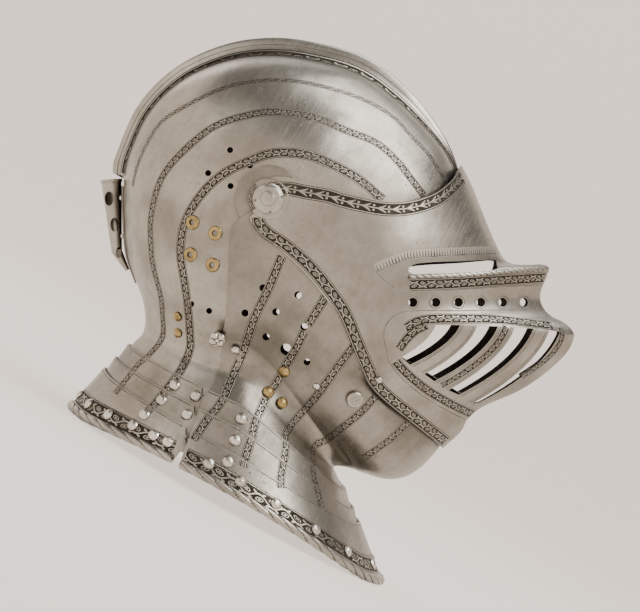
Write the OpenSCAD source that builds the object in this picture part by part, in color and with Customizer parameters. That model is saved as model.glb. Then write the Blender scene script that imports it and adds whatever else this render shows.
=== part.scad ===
// Close helmet with a one-piece visor, a swinging bevor and a laminated gorget.
// Millimetres, +Z up, standing on the rim of the gorget, face toward +X, wearer's left toward +Y.

/* [Plates] */
// thickness of the skull, bevor and visor
plate_t = 1.6; // [1.2:0.1:2]
// space left between one plate and the next
plate_gap = 1.2; // [1:0.1:1.6]
// half width of the skull at the pivots
skull_half_w = 96; // [92:1:100]
// half width of the neck at its narrowest
neck_half_w = 73; // [70:1:76]
// height of the comb above the skull
comb_h = 14.5; // [8:0.5:18]
// half width of the comb near its crest
comb_half_w = 3.2; // [2.8:0.1:4.5]

/* [Visor] */
// height of the sight slit at its middle
sight_h = 8; // [5:0.5:9]
// diameter of the breath holes
breath_d = 6.6; // [4:0.2:8]
// number of breath holes on each side
breath_count = 6; // [4:1:7]
// width of the bars of the grille
bar_w = 13; // [10:0.5:15]

/* [Gorget] */
// half width of the gorget at its rim
rim_half_w = 115; // [108:1:122]
// length of the gorget at its rim
rim_length = 274; // [268:1:282]
// rise of the rim over each shoulder
rim_arch = 11; // [6:1:16]
// half width of the flat stretches that the helmet stands on
rim_flat = 46; // [36:1:56]
// thickness of the lames
lame_t = 1.4; // [1:0.1:1.6]
// space left between overlapping lames
lame_gap = 0.9; // [0.7:0.1:1.2]
// radius of the roped rim
rope_r = 3.6; // [3:0.2:4.4]
// depth of the flat that the rim stands on
rim_foot = 1.2; // [0.9:0.1:1.4]
// radius of the domed studs on the lames
stud_r = 4.2; // [3.4:0.1:4.8]

/* [Pivots and fittings] */
// radius of the pivot shanks
pivot_r = 3; // [2.4:0.1:3.6]
// radius of the notched pivot heads
pivot_head_r = 11; // [9:0.5:13]
// radius of the brass eyelets
eyelet_r = 5.2; // [4.4:0.1:6]
// radius of the laces' holes in the skull
lace_hole_r = 2.2; // [1.6:0.1:2.6]
// radius of the four-petal head of the turning catch
rosette_r = 6.4; // [5.4:0.1:7.4]
// radius of the spring button
button_r = 6.2; // [5:0.1:7]
// radius of the mouth of the plume tube
plume_r = 7.7; // [6.4:0.1:8.2]

/* [Output] */
// piece to show on its own, or all of them

/* [Hidden] */
// lean of the face against the rim, from the side
tilt = 29.5;
// place of the pivots, seen from the side
pivot_x = 59.5 - 121;
pivot_z = 207;
// running clearance of every shank in its hole
run_c = 0.05;
// clearance between faces that slide on one another
seat_c = 0.3;
// radii of shanks, and of the necks of the eyelets
shank_r = 1.5;
eyelet_neck_r = 3;
catch_pin_r = 2;
// clearance round the spring button
button_c = 0.1;
// layer of the bevor and of the visor outside the skull
layer = plate_t + plate_gap;
bevor_half_w = skull_half_w + layer;
visor_half_w = bevor_half_w + layer;
// thickness of the round seats that carry the pivots
seat_t = plate_t + 0.8;
// how far each seat stands out of its plate, and the radii of the seats
seat_proud = 0.4;
visor_seat_r = 14.4;
lower_seat_r = 13.5;
// radius and thickness of the bevor's ear, and how far its face lies inside the pivot's half width
ear_r = 24;
ear_t = 1;
ear_d = 1.1;
// half width of the blocks that cut the plates
cut_half_w = visor_half_w + 9;
// length of a drill through one plate, and of one through the whole helmet
drill = 14;
through = 3 * skull_half_w;
// radii of the heads of the rivets and single studs
skull_rivet_r = 3.5;
bevor_rivet_r = 4.2;
bevor_stud_r = 2.9;
visor_stud_r = 2.7;
spring_rivet_r = 2.6;
plume_rivet_r = 2.3;
// height of a head's foot over a plate that curves away under it
raised = 0.7;
// share of a row at which it meets the cheek line
cheek_at = 0.45;
// how far behind the cheek line a row still runs straight on
cheek_bend = 38;
steel = [0.66, 0.65, 0.62];
dark_steel = [0.5, 0.49, 0.46];
brass = [0.72, 0.58, 0.3];
leather = [0.35, 0.24, 0.16];

// top of the skull below its comb, from the brow over to the neck, face frame: x, z, share of the comb height
crest_line = [
    [142.5, -23.9, 0], [143.0, -8.0, 0.02], [141.8, 9.9, 0.08], [133.3, 35.1, 0.28],
    [115.9, 57.0, 0.62], [92.1, 79.5, 0.9], [64.1, 98.4, 1], [26.6, 108.7, 1],
    [-3.5, 111.3, 0.98], [-34.0, 107.1, 0.9], [-65.4, 93.5, 0.8], [-90.7, 69.6, 0.72],
    [-105.3, 39.5, 0.68], [-109.8, 20.8, 0.66], [-110.1, -1, 0], [-109.3, -22, 0],
    [-107, -40, 0], [-100.5, -59, 0], [-95.2, -75, 0], [-94.2, -88.4, 0]];
// station of the crest at which the comb stops over the plume tube
comb_end = 13;
// side ends of the lower rows of the skull, face frame: x, z, half width against the neck and pivot values
skull_side = [
    [0, 0, 1], [-3, -8, 1], [-10, -24, 0.98], [-14, -45, 0.95], [-17, -64, 0.86], [-18, -83, 0.66],
    [-17, -98, 0.36], [-16, -109, 0.1]];
// row of the skull at which the side ends leave the pivot
skull_side_from = 12;

// front outline of the visor from above its upper edge to below its lap, face frame
front_line = [
    [138.0, 39.1], [143.0, 28.6], [149.2, 17.4], [157.1, -2.1], [165.0, -21.6], [170.2, -32.9],
    [174.0, -40.1], [179.2, -44.1], [190.5, -45.6], [204.5, -45.4], [208.5, -48.6], [204.8, -58.8],
    [202.5, -65.1], [202.5, -74.1], [208.5, -82.7], [219.0, -88.4], [226.3, -95.1], [226.9, -101.1],
    [221.7, -111.6], [208.5, -124.4], [190.5, -137.6], [170.2, -146.9], [157.1, -152.9], [150.8, -158.1],
    [147.0, -161.9], [141.8, -171.6], [134.5, -177.9], [128, -184]];
// cheek line of the visor: x, z, sharpness of the keel, width share
cheek_line = [
    [82, 28, 0.5, 0.86], [91.8, -32, 0.62, 0.86], [94.2, -55, 0.92, 0.845], [91, -76, 0.88, 0.835],
    [86, -100, 0.9, 0.82], [72.5, -118, 0.85, 0.79], [55, -125, 0.78, 0.76]];
// rows of the front outline that the bevor shares with the visor, then its own outline down to the throat
bevor_line = [
    [157.1, -152.9], [150.8, -158.1], [147.0, -161.9], [141.8, -171.6], [134.5, -178.5], [129, -185.5],
    [120.5, -193.8], [110.5, -202.2], [98, -208.2], [85, -208.9], [70.6, -205], [59, -200.8]];
// bevor row by row: side end x, z, half width share, cheek point x, z, keel, width share
bevor_side = [
    [0, 0, 1, 82, -106, 0.85, 0.79],
    [0, -1, 1, 71, -115.5, 0.82, 0.775],
    [-24, -15, 0.99, 58, -120, 0.76, 0.77],
    [-37, -42, 0.98, 42, -118, 0.68, 0.83],
    [-39, -66, 0.88, 30, -118, 0.65, 0.85],
    [-41, -88, 0.54, 17, -122, 0.6, 0.87],
    [-44, -104, 0.22, 5, -127, 0.52, 0.89]];

// lower edge of the visor where it laps the bevor, from the pivot seat to the chin, face frame
lap_line = [
    [-14.6, 0], [-13.9, -11], [-12.3, -16.8], [-6.8, -23], [6.1, -34.3], [26.7, -53.5], [40.3, -70.6],
    [52.9, -85.7], [61.6, -104.1], [71.4, -130.5], [85, -145.5], [99.8, -158.5], [114.5, -170.4],
    [128, -182.3]];
// upper edge of the visor from the pivot seat to the comb, face frame
brow_line = [
    [-14.6, 0], [-10.3, 7.8], [-3.2, 13.5], [4.7, 15.6], [14.6, 15.2], [30.3, 11.8], [54.6, 4.5],
    [82.0, -0.9], [101.7, -0.6], [121.5, 6.2], [132.0, 13.8], [138.1, 23.5], [142.5, 29]];
// rear edge of the bevor from its pivot seat down to the flange, face frame
seam_line = [
    [-20, 4], [-24, -7], [-26.6, -20], [-27.5, -32.8], [-28.3, -50.6], [-29.8, -72.1], [-31.4, -87.8],
    [-34.3, -100.1], [-33.9, -109.5], [-36.2, -122.6], [-40.6, -133.6], [-50, -150]];
// grille: middles of the bars at the upper and lower bands, and the outer edges of the first and last slots
bar_upper = [[144.9, -90.6], [173.5, -91.6], [200.9, -93.4]];
bar_lower = [[107.3, -122.5], [125.7, -134.9], [145, -145.6]];
grille_rear = [[120.4, -90.1], [95.5, -113.4]];
grille_front = [[215.8, -95.8], [155.6, -148.6]];
// middle line of the sight slit from its rear end to the keel
sight_line = [[100.5, -50.4], [119, -48.6], [145, -47.4], [168, -45.6]];
// first and last breath holes
breath_first = [103.6, -73.8];
breath_last = [188.4, -73.6];
// holes for the lining laces in the skull, and the sound and air holes in the bevor, with their radii
skull_holes = [[-27.7, 35.4], [-43.5, 18.9], [-27.2, 9.4], [-13.3, 24.1], [-56, -74.9], [-43, -79.9]];
bevor_holes = [
    [-3.9, -63.5, 2.6], [21, -68.5, 2.6], [-16.9, -81.4, 2.6], [5.2, -80.6, 2.6], [-2, -98.6, 2.6],
    [25.3, -91.4, 2.6], [27.4, -116.7, 2.4], [12.3, -107.6, 4.1]];

function lerp(a, b, t) = a + (b - a) * t;
function clamp(v, a, b) = min(max(v, a), b);
function unit(v) = v / max(norm(v), 1e-9);
// smooth curve through the rows of a list, t from 0 to 1
function spl(l, t) =
    let (n = len(l) - 1, s = clamp(t, 0, 1) * n, i = min(floor(s), n - 1), u = s - i)
    let (a = l[max(i - 1, 0)], b = l[i], c = l[i + 1], d = l[min(i + 2, n)])
    (2 * b + (c - a) * u + (2 * a - 5 * b + 4 * c - d) * u * u + (3 * b - a - 3 * c + d) * u * u * u) / 2;

// unit normals of a grid of points, out of the helmet; the end columns, which may meet in a point, take their
// neighbours' normals
function grid_normals(g) =
    let (nr = len(g) - 1, nc = len(g[0]) - 1)
    [for (i = [0:nr]) [for (e = [0:nc])
        let (j = clamp(e, 1, nc - 1))
        let (du = g[min(i + 1, nr)][j] - g[max(i - 1, 0)][j], dv = g[i][j + 1] - g[i][j - 1])
        unit(cross(du, dv))]];
// the two triangles of cell i, j of a grid with nc cells in a row, alike on both sides of the helmet
function cell_triangles(i, j, nc) = j < nc / 2
    ? [[[i, j], [i + 1, j], [i + 1, j + 1]], [[i, j], [i + 1, j + 1], [i, j + 1]]]
    : [[[i, j], [i + 1, j], [i, j + 1]], [[i + 1, j], [i + 1, j + 1], [i, j + 1]]];
// grid moved along its own normals by d
function moved(g, n, d) = [for (i = [0:len(g) - 1]) [for (j = [0:len(g[0]) - 1]) g[i][j] + n[i][j] * d]];

// sheet between two grids of the same size, the first one outside
module sheet(a, b) {
    nr = len(a) - 1;
    nc = len(a[0]) - 1;
    w = nc + 1;
    k = (nr + 1) * w;
    pts = concat([for (r = a) for (p = r) p], [for (r = b) for (p = r) p]);
    skin = [for (i = [0:nr - 1]) for (j = [0:nc - 1])
        for (c = cell_triangles(i, j, nc)) [for (e = c) e[0] * w + e[1]]];
    ends = [for (j = [0:nc - 1]) let (p = j, q = nr * w + j)
        each [[p, p + 1, k + p + 1], [p, k + p + 1, k + p], [q + 1, q, k + q], [q + 1, k + q, k + q + 1]]];
    sides = [for (i = [0:nr - 1]) let (p = i * w, q = i * w + nc)
        each [[p + w, p, k + p], [p + w, k + p, k + p + w], [q, q + w, k + q + w], [q, k + q + w, k + q]]];
    polyhedron(points = pts, faces = concat(
        [for (f = skin) [f[2], f[1], f[0]]],
        [for (f = skin) [k + f[0], k + f[1], k + f[2]]],
        [for (f = concat(ends, sides)) [f[2], f[1], f[0]]]));
}

// moves a shape from the face frame, whose origin is between the pivots, to the standing frame
module on_head() {
    translate([pivot_x, 0, pivot_z]) rotate([0, -tilt, 0]) children();
}

// flat outline in the side view, as a block through the whole helmet
module side_block(pts, y0, y1) {
    translate([0, y1, 0]) rotate([90, 0, 0]) linear_extrude(height = y1 - y0) polygon(pts);
}

function curve_points(l, n) = [for (i = [0:n]) spl(l, i / n)];

/* gorget surface, a flaring ring between the throat and the rim, standing frame */
rear_x = -121.5;
throat_x = -11;
throat_half_l = 86.3;
throat_side_z = 89;
throat_rear_z = 75;
throat_front_z = 59.3;
rim_x = rear_x + rim_length / 2;
// how much wider the front plates are than the rear ones that they lap
front_lap = 3.8;
// plan angle of the rear edge of the front plates, and of the hidden front edge of the rear ones
front_edge_a = 107;
rear_edge_a = 98;
function ring_half_w(front, rim) = (rim ? rim_half_w : neck_half_w) + (front ? front_lap : 0);
function rim_z(y, half_w) =
    let (t = clamp((abs(y) - rim_flat) / (half_w - rim_flat), 0, 1))
    rope_r + 0.4 * lame_t - rim_foot + rim_arch * pow(t, 1.4);
function ring_point(a, s, front) =
    let (c = cos(a), b = ring_half_w(front, true), y1 = (b - rope_r) * sin(a))
    let (t = [throat_x + throat_half_l * c, ring_half_w(front, false) * sin(a),
        lerp(throat_side_z, c < 0 ? throat_rear_z : throat_front_z, abs(c))])
    let (q = [rim_x + (rim_length / 2 - rope_r) * c, y1, rim_z(y1, b - rope_r)])
    lerp(t, q, s);
function ring_normal(a, s, front) =
    unit(cross(ring_point(a + 1, s, front) - ring_point(a - 1, s, front),
        ring_point(a, s - 0.02, front) - ring_point(a, s + 0.02, front)));
function ring_at(a, s, front, d) = ring_point(a, s, front) + ring_normal(a, s, front) * d;
// shares of the way from throat to rim at which the plates' upper edges lie, in the middle and at the sides
rear_steps = [0.17, 0.35, 0.507, 1];
front_steps = [0.21, 0.38, 0.5, 1];
side_steps = [0.27, 0.47, 0.7, 1];
function step_at(k, a, front) = lerp((front ? front_steps : rear_steps)[k], side_steps[k], sin(a) * sin(a));
lame_pitch = lame_t + lame_gap;
// hidden margin of a plate under the next one down, in mm, and about how long the flare is
function margin_at(a) = (4.5 + 4 * cos(a) * cos(a)) / 95;

// point of the standing frame seen in the face frame
function to_head(p) =
    let (x = p[0] - pivot_x, z = p[2] - pivot_z)
    [x * cos(tilt) + z * sin(tilt), p[1], z * cos(tilt) - x * sin(tilt)];

/* skull surface, from the brow over the top to the flange */
comb_steps = [0, 0.75, 1.4, 2.6, 4.2];
comb_shape = [1, 0.93, 0.5, 0.12, 0];
skull_fan = [15, 24, 34, 45, 55, 65, 74, 82, 88];
skull_etas = concat(
    [for (i = [len(skull_fan) - 1:-1:0]) [sin(skull_fan[i]), 0]],
    [for (i = [4:-1:1]) [comb_steps[i] * comb_half_w / skull_half_w, comb_shape[i]]],
    [for (i = [0:4]) [-comb_steps[i] * comb_half_w / skull_half_w, comb_shape[i]]],
    [for (a = skull_fan) [-sin(a), 0]]);
// stations of the rows: even ones down to the end of the comb, one just after it, and even ones on to
// the neck
skull_stations = concat([for (i = [0:21]) comb_end * i / 21],
    [for (i = [0:10]) lerp(comb_end + 0.1, len(crest_line) - 1, i / 10)]);
function skull_side_at(s) = s <= skull_side_from ? skull_side[0]
    : spl(skull_side, (s - skull_side_from) / (len(crest_line) - 1 - skull_side_from));
// point of the skull at a station, a share eta of the half width, and a share lift of the comb's height
function skull_point(s, eta, lift) =
    let (c = spl(crest_line, s / (len(crest_line) - 1)), e = skull_side_at(s), top = [c[0], c[1]])
    let (h = s > comb_end ? 0 : comb_h * max(c[2], 0), f = pow(1 - pow(abs(eta), 1 / 0.48), 1 / 2.1))
    let (q = lerp([e[0], e[1]], top, f) + unit(top - [e[0], e[1]]) * h * lift)
    [q[0], lerp(neck_half_w, skull_half_w, e[2]) * eta, q[1]];
// rows of a flange between the throat and the edge of the first lame, and one more under that lame
flange_rows = [0.08, 0.45, 1, 2];
function flange_point(f, a, front) =
    let (s0 = step_at(0, a, front), s1 = step_at(1, a, front), m = f > 1 ? margin_at(a) : 0)
    to_head(ring_at(a, min(f, 1) * s0 + m, front, -lame_pitch * m / (s1 - s0)));
skull_grid = concat(
    [for (s = skull_stations) [for (c = skull_etas) skull_point(s, c[0], c[1])]],
    [for (f = flange_rows) [for (c = skull_etas)
        flange_point(f, 180 - (180 - rear_edge_a) * asin(c[0]) / skull_fan[len(skull_fan) - 1], false)]]);
skull_norm = grid_normals(skull_grid);

/* face surface, shared by the visor and the bevor */
function row_exponent(m, q) = ln(1 - pow(q, 1 / m)) / ln(cheek_at);
function row_point(c, m, e, w, keel, share, eta) =
    let (n = row_exponent(keel, share), tau = pow(1 - pow(abs(eta), 1 / keel), 1 / n))
    let (k = m + unit(m - c) * cheek_bend, u = tau / cheek_at)
    let (q = tau >= cheek_at ? lerp(m, c, (tau - cheek_at) / (1 - cheek_at))
        : e * (1 - u) * (1 - u) + k * 2 * u * (1 - u) + m * u * u)
    [q[0], w * eta, q[1]];
function fan(n, top) = [for (i = [-n:n]) sin(top * i / n)];

visor_rows = 36;
// the last column each way brings the sheet up to the pivot, under its seat
near_pivot = sin(89.9);
visor_etas = concat([-near_pivot], fan(11, 87), [near_pivot]);
function visor_point(t, eta) =
    let (c = spl(front_line, t), s = spl(cheek_line, t))
    row_point(c, [s[0], s[1]], [0, 0], visor_half_w, s[2], s[3], eta);
visor_face = [for (i = [0:visor_rows]) [for (e = visor_etas) visor_point(i / visor_rows, e)]];
// the first and last rows are turned on about the pivots, which carries the plate round them
row_turns = [20, 40, 60];
function turned(row, a) =
    [for (p = row) [p[0] * cos(a) - p[2] * sin(a), p[1], p[0] * sin(a) + p[2] * cos(a)]];
visor_grid = concat(
    [for (i = [len(row_turns) - 1:-1:0]) turned(visor_face[0], row_turns[i])],
    visor_face,
    [for (a = row_turns) turned(visor_face[visor_rows], -a)]);
visor_norm = grid_normals(visor_grid);

bevor_rows = 17;
bevor_fan = 89;
bevor_etas = fan(11, bevor_fan);
function bevor_point(t, eta) =
    let (c = spl(bevor_line, t), s = spl(bevor_side, t))
    row_point(c, [s[3], s[4]], [s[0], s[1]], lerp(neck_half_w + front_lap + layer, visor_half_w, s[2]),
        s[5], s[6], eta);
bevor_face = [for (i = [0:bevor_rows]) [for (e = bevor_etas) bevor_point(i / bevor_rows, e)]];
// extra room under the lap of the visor, in the rows that it hides
bevor_tuck = 2;
bevor_face_norm = grid_normals(bevor_face);
bevor_grid = concat(
    [for (i = [0:bevor_rows]) [for (j = [0:len(bevor_etas) - 1])
        bevor_face[i][j] - bevor_face_norm[i][j] * (layer + bevor_tuck * clamp((10 - i) / 3, 0, 1)
            * clamp((0.7 - abs(bevor_etas[j])) / 0.15, 0, 1))]],
    [for (f = flange_rows) [for (e = bevor_etas)
        flange_point(f, (front_edge_a + 5) * asin(e) / bevor_fan, true)]]);
bevor_norm = grid_normals(bevor_grid);

/* places on the surfaces */
// shares of the corners a, b and c at a place q of the side view
function shares(a, b, c, q) =
    let (d = (b[2] - c[2]) * (a[0] - c[0]) + (c[0] - b[0]) * (a[2] - c[2]))
    let (u = ((b[2] - c[2]) * (q[0] - c[0]) + (c[0] - b[0]) * (q[1] - c[2])) / d)
    let (v = ((c[2] - a[2]) * (q[0] - c[0]) + (a[0] - c[0]) * (q[1] - c[2])) / d)
    [u, v, 1 - u - v];
// point and outward normal of a grid at a place of the side view, on the facet there, on the wearer's right
function spot(g, n, x, z) =
    let (q = [x, z], right = [for (j = [0:len(g[0]) - 1]) if (g[0][j][1] <= 0) j])
    let (d = [for (i = [0:len(g) - 1]) for (j = right) [norm([g[i][j][0] - x, g[i][j][2] - z]), i, j]])
    let (m = min([for (e = d) e[0]]), h = [for (e = d) if (e[0] == m) e][0])
    let (hits = [
        for (i = [max(h[1] - 2, 0):min(h[1] + 1, len(g) - 2)])
        for (j = [max(h[2] - 2, 0):min(h[2] + 1, len(g[0]) - 2)])
        for (c = cell_triangles(i, j, len(g[0]) - 1))
            let (p = [for (e = c) g[e[0]][e[1]]], w = shares(p[0], p[1], p[2], q))
            if (min(w) > -0.001) [w * p, unit(w * [for (e = c) n[e[0]][e[1]]])]])
    hits[0];
// puts a shape on a spot, its +Z along the outward normal
module at_spot(s) {
    translate(s[0]) rotate([0, acos(s[1][2]), atan2(s[1][1], s[1][0])]) children();
}
// the same shape on both sides of the helmet
module both_sides() {
    children();
    mirror([0, 1, 0]) children();
}

/* places of the fittings, face frame, on the wearer's right */
eyelet_spots = [for (e = [[-54.6, -16.4], [-38.2, -24.3], [-56.2, -39.5], [-40.1, -47]])
    spot(skull_grid, skull_norm, e[0], e[1])];
skull_rivet_spots = [for (e = [[-66.3, -84], [-66.5, -96]]) spot(skull_grid, skull_norm, e[0], e[1])];
bevor_rivet_spots = [for (e = [[-0.4, -138.5], [9.4, -146.5], [10.8, -123.9]])
    spot(bevor_grid, bevor_norm, e[0], e[1])];
bevor_stud_spot = spot(bevor_grid, bevor_norm, -24.2, -108);
button_spot = spot(bevor_grid, bevor_norm, 61.5, -143.5);
spring_rivet_spot = spot(bevor_grid, bevor_norm, 34, -134.6);
catch_spot = spot(bevor_grid, bevor_norm, -37, -99);
// how deep below the catch the skull lies
catch_d = (spot(skull_grid, skull_norm, -37, -99)[0][1] - catch_spot[0][1]) * -catch_spot[1][1];
visor_stud_spot = spot(visor_grid, visor_norm, 79.3, -130);
visor_hole = [75.5, -124.6];
visor_hole_r = 1.6;
spring_front = [66.5, -145.2];
spring_rear = [28.5, -132.8];
spring_t = 0.8;
// space between the bevor and the collar of its button
button_gap = 1.2;
plume_top = [-112.1 - plume_r, 18.4];
plume_foot = [-115.7, -35];
plume_foot_r = 4;
plume_tail = [-107.6, -49.5];
// oval holes in the tube's right side: place, half width and half height
plume_holes = [[-121, 3.9, 3.4, 5.3], [-117, -15.6, 3.2, 5.2], [-114, -36.4, 2, 4]];
function skull_spot(s, eta) =
    let (du = skull_point(s + 0.1, eta, 0) - skull_point(s - 0.1, eta, 0))
    let (dv = skull_point(s, eta + 0.02, 0) - skull_point(s, eta - 0.02, 0))
    [skull_point(s, eta, 0), unit(cross(dv, du))];
plume_rivet_spots = [for (s = [13.75, 15.1]) skull_spot(s, -9.4 / skull_half_w)];
// studs of the gorget: plate, plan angle, share of the way down that plate, and what they hold: 1 for a
// strap, 2 for a lining band
rear_studs = [
    [0, 121, 0.55, 1], [1, 123, 0.5, 1], [2, 126, 0.29, 1], [0, 110.5, 0.55, 0], [1, 111, 0.5, 0],
    [2, 172, 0.72, 2], [2, 155, 0.72, 2], [2, 140.5, 0.72, 2], [2, 128, 0.68, 2], [2, 119, 0.66, 2],
    [2, 113.5, 0.64, 2]];
front_studs = [
    [0, 90, 0.55, 1], [1, 91, 0.5, 1], [2, 92, 0.3, 1], [2, 98, 0.62, 0], [2, 86.4, 0.62, 2],
    [2, 73, 0.64, 2], [2, 56, 0.67, 2], [2, 38, 0.7, 2], [2, 13, 0.72, 2]];

/* plates */
module pivot_hole() {
    rotate([90, 0, 0]) cylinder(r = pivot_r + run_c, h = through, center = true, $fn = 48);
}
// round seat round a pivot, its outer face seat_proud outside half width w
module pivot_seat(w, r) {
    both_sides() translate([0, -w - seat_proud, 0]) rotate([-90, 0, 0]) cylinder(r = r, h = seat_t, $fn = 64);
}
// flat ear of the bevor round its pivot, which shows behind that of the visor
module bevor_ear() {
    both_sides() translate([0, -bevor_half_w + ear_d, 0]) rotate([-90, 0, 0])
        cylinder(r = ear_r, h = ear_t, $fn = 72);
}
module side_hole(x, z, r) {
    translate([x, 0, z]) rotate([90, 0, 0]) cylinder(r = r, h = through, center = true, $fn = 32);
}

// hole for the shank of a stud or rivet
module stud_hole(e, c = run_c) {
    at_spot(e) cylinder(r = shank_r + c, h = drill + 4, center = true, $fn = 24);
}
module skull() {
    color(steel) on_head() difference() {
        union() {
            sheet(skull_grid, moved(skull_grid, skull_norm, -plate_t));
            pivot_seat(skull_half_w, lower_seat_r);
        }
        pivot_hole();
        for (h = skull_holes) side_hole(h[0], h[1], lace_hole_r);
        both_sides() {
            for (e = eyelet_spots)
                at_spot(e) cylinder(r = eyelet_neck_r + run_c, h = drill, center = true, $fn = 32);
            for (e = skull_rivet_spots) stud_hole(e);
            for (e = plume_rivet_spots) stud_hole(e);
        }
        at_spot(catch_spot) translate([0, 0, -catch_d])
            cylinder(r = catch_pin_r + run_c, h = drill, center = true, $fn = 32);
    }
}

// parts of the side view above the brow edge and below the lap, where the visor ends
module above_brow() {
    side_block(concat(curve_points(brow_line, 40), [[175, 60], [175, 160], [-60, 160], [-60, 0]]),
        -cut_half_w, cut_half_w);
}
module below_lap() {
    side_block(concat(curve_points(lap_line, 44), [[150, -204], [150, -260], [-120, -260], [-120, 0]]),
        -cut_half_w, cut_half_w);
}
function bar_curve(t, b, n) =
    let (k = [lerp(t[0], b[0], 0.17), lerp(t[1], b[1], 0.51)])
    [for (i = [0:n]) let (u = i / n) t * (1 - u) * (1 - u) + k * 2 * u * (1 - u) + b * u * u];
function reversed(l) = [for (i = [len(l) - 1:-1:0]) l[i]];
module grille_slot(left, right) {
    side_block(concat(bar_curve(left[0], left[1], 8), reversed(bar_curve(right[0], right[1], 8))),
        -cut_half_w, cut_half_w);
}
// edge of bar i toward the keel (1) or toward the cheek (-1)
function bar_edge(i, side) =
    [bar_upper[i] + side * [bar_w / 2, -0.3], bar_lower[i] + side * [0.84, -0.54] * bar_w / 2];
module sight_slit() {
    n = 12;
    mid = curve_points(sight_line, n);
    half = [for (i = [0:n]) sight_h / 2 * (i == 0 ? 0.35 : i == 1 ? 0.85 : i == n ? 0.8 : 1)];
    side_block(concat(
        [for (i = [0:n]) mid[i] + [0, half[i]]], [for (i = [n:-1:0]) mid[i] - [0, half[i]]]),
        -cut_half_w, cut_half_w);
}
// tube of m sides through a row of points, its section turned by twist degrees at each step
module tube(path, r, m, twist, flat) {
    n = len(path) - 1;
    sections = [for (i = [0:n])
        let (v = unit(path[min(i + 1, n)] - path[max(i - 1, 0)]))
        let (e = unit(cross(v, [0.01, 0, 1])), f = cross(e, v))
        [for (j = [0:m - 1])
            let (t = 360 * j / m, q = r * (1 - flat * (1 + cos(2 * (t - twist * i)))))
            path[i] + e * cos(t) * q + f * sin(t) * q]];
    k = (n + 1) * m;
    walls = [for (i = [0:n - 1]) for (j = [0:m - 1])
        let (p = i * m + j, q = i * m + (j + 1) % m) each [[p, p + m, q + m], [p, q + m, q]]];
    caps = [for (j = [0:m - 1]) each [[k, j, (j + 1) % m], [k + 1, n * m + (j + 1) % m, n * m + j]]];
    polyhedron(points = concat([for (s = sections) each s], [path[0], path[n]]),
        faces = [for (f = concat(walls, caps)) [f[2], f[1], f[0]]]);
}
module visor() {
    color(steel) on_head() difference() {
        union() {
            difference() {
                sheet(visor_grid, moved(visor_grid, visor_norm, -plate_t));
                above_brow();
                below_lap();
                sight_slit();
                grille_slot(grille_rear, bar_edge(0, -1));
                grille_slot(bar_edge(0, 1), bar_edge(1, -1));
                grille_slot(bar_edge(1, 1), bar_edge(2, -1));
                grille_slot(bar_edge(2, 1), grille_front);
                for (i = [0:breath_count - 1]) {
                    p = lerp(breath_first, breath_last, i / (breath_count - 1));
                    side_hole(p[0], p[1], breath_d / 2);
                }
            }
            pivot_seat(visor_half_w, visor_seat_r);
        }
        pivot_hole();
        both_sides() stud_hole(visor_stud_spot);
        side_hole(visor_hole[0], visor_hole[1], visor_hole_r);
    }
}

function bevor_outline() =
    concat(curve_points(seam_line, 40), [[-60, -300], [260, -300], [260, 30], [-4, 30]]);
// small ear of the bevor's edge under the turning catch, and the notch in it that lets the pin out
module catch_ear() {
    translate([catch_spot[0][0], 0, catch_spot[0][2]]) rotate([90, 0, 0])
        cylinder(r = rosette_r - 1.2, h = cut_half_w, $fn = 48);
}
module catch_notch() {
    n = catch_spot[1];
    polar = acos(n[2]);
    plan = atan2(n[1], n[0]);
    away = unit([catch_spot[0][2], 0, -catch_spot[0][0]]);
    over = [cos(polar) * cos(plan), cos(polar) * sin(plan), -sin(polar)];
    turn = atan2(away * [-sin(plan), cos(plan), 0], away * over);
    r = catch_pin_r + 0.4;
    at_spot(catch_spot) rotate([0, 0, turn]) {
        cylinder(r = r, h = drill, center = true, $fn = 32);
        translate([0, -r, -drill / 2]) cube([3 * rosette_r, 2 * r, drill]);
    }
}
module bevor() {
    color(dark_steel) on_head() difference() {
        union() {
            intersection() {
                sheet(bevor_grid, moved(bevor_grid, bevor_norm, -plate_t));
                union() {
                    side_block(bevor_outline(), -cut_half_w, cut_half_w);
                    catch_ear();
                }
            }
            pivot_seat(bevor_half_w, lower_seat_r);
            bevor_ear();
        }
        pivot_hole();
        catch_notch();
        for (h = bevor_holes) side_hole(h[0], h[1], h[2]);
        both_sides() {
            for (e = bevor_rivet_spots) stud_hole(e);
            stud_hole(bevor_stud_spot);
        }
        stud_hole(spring_rivet_spot);
        at_spot(button_spot) cylinder(r = button_r + button_c, h = drill, center = true, $fn = 48);
    }
}

// plate of the gorget between its own upper edge and its hidden lower margin; the part of a rear plate that
// runs on under the front ones is cut back above and below, clear of their margins and rope
function lame_grid(k, front, arc, rows, drop) =
    [for (i = [0:rows]) [for (a = arc)
        let (s0 = step_at(k, a, front), s1 = step_at(k + 1, a, front))
        let (hidden = !front && abs(180 - a) > 180 - tongue_a)
        let (from = s0 + (hidden ? 1.5 * margin_at(a) : 0))
        let (to = k == 2 ? (hidden ? 0.9 : s1) : s1 + margin_at(a))
        let (s = lerp(from, to, i / rows))
        ring_at(a, s, front, lame_pitch * (1 - (s - s0) / (s1 - s0)) - drop)]];
module lame(k, front, rows) {
    arc = front ? front_arc : rear_arc;
    list = front ? front_studs : rear_studs;
    difference() {
        union() {
            sheet(lame_grid(k, front, arc, rows, 0), lame_grid(k, front, arc, rows, lame_t));
            if (k == 2 && front)
                rim_rope(true, -front_edge_a, front_edge_a, 74);
            if (k == 2 && !front)
                rim_rope(false, rear_rope_a, 360 - rear_rope_a, 56);
        }
        if (k == 2)
            below_rim();
        both_sides() for (e = studs_of(list, k)) stud_hole(stud_spot(e, front));
    }
}
// the space under the helmet, where the rim is cut flat
module below_rim() {
    translate([-rim_length, -rim_length, -2 * rope_r]) cube([2 * rim_length, 2 * rim_length, 2 * rope_r]);
}
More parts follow.
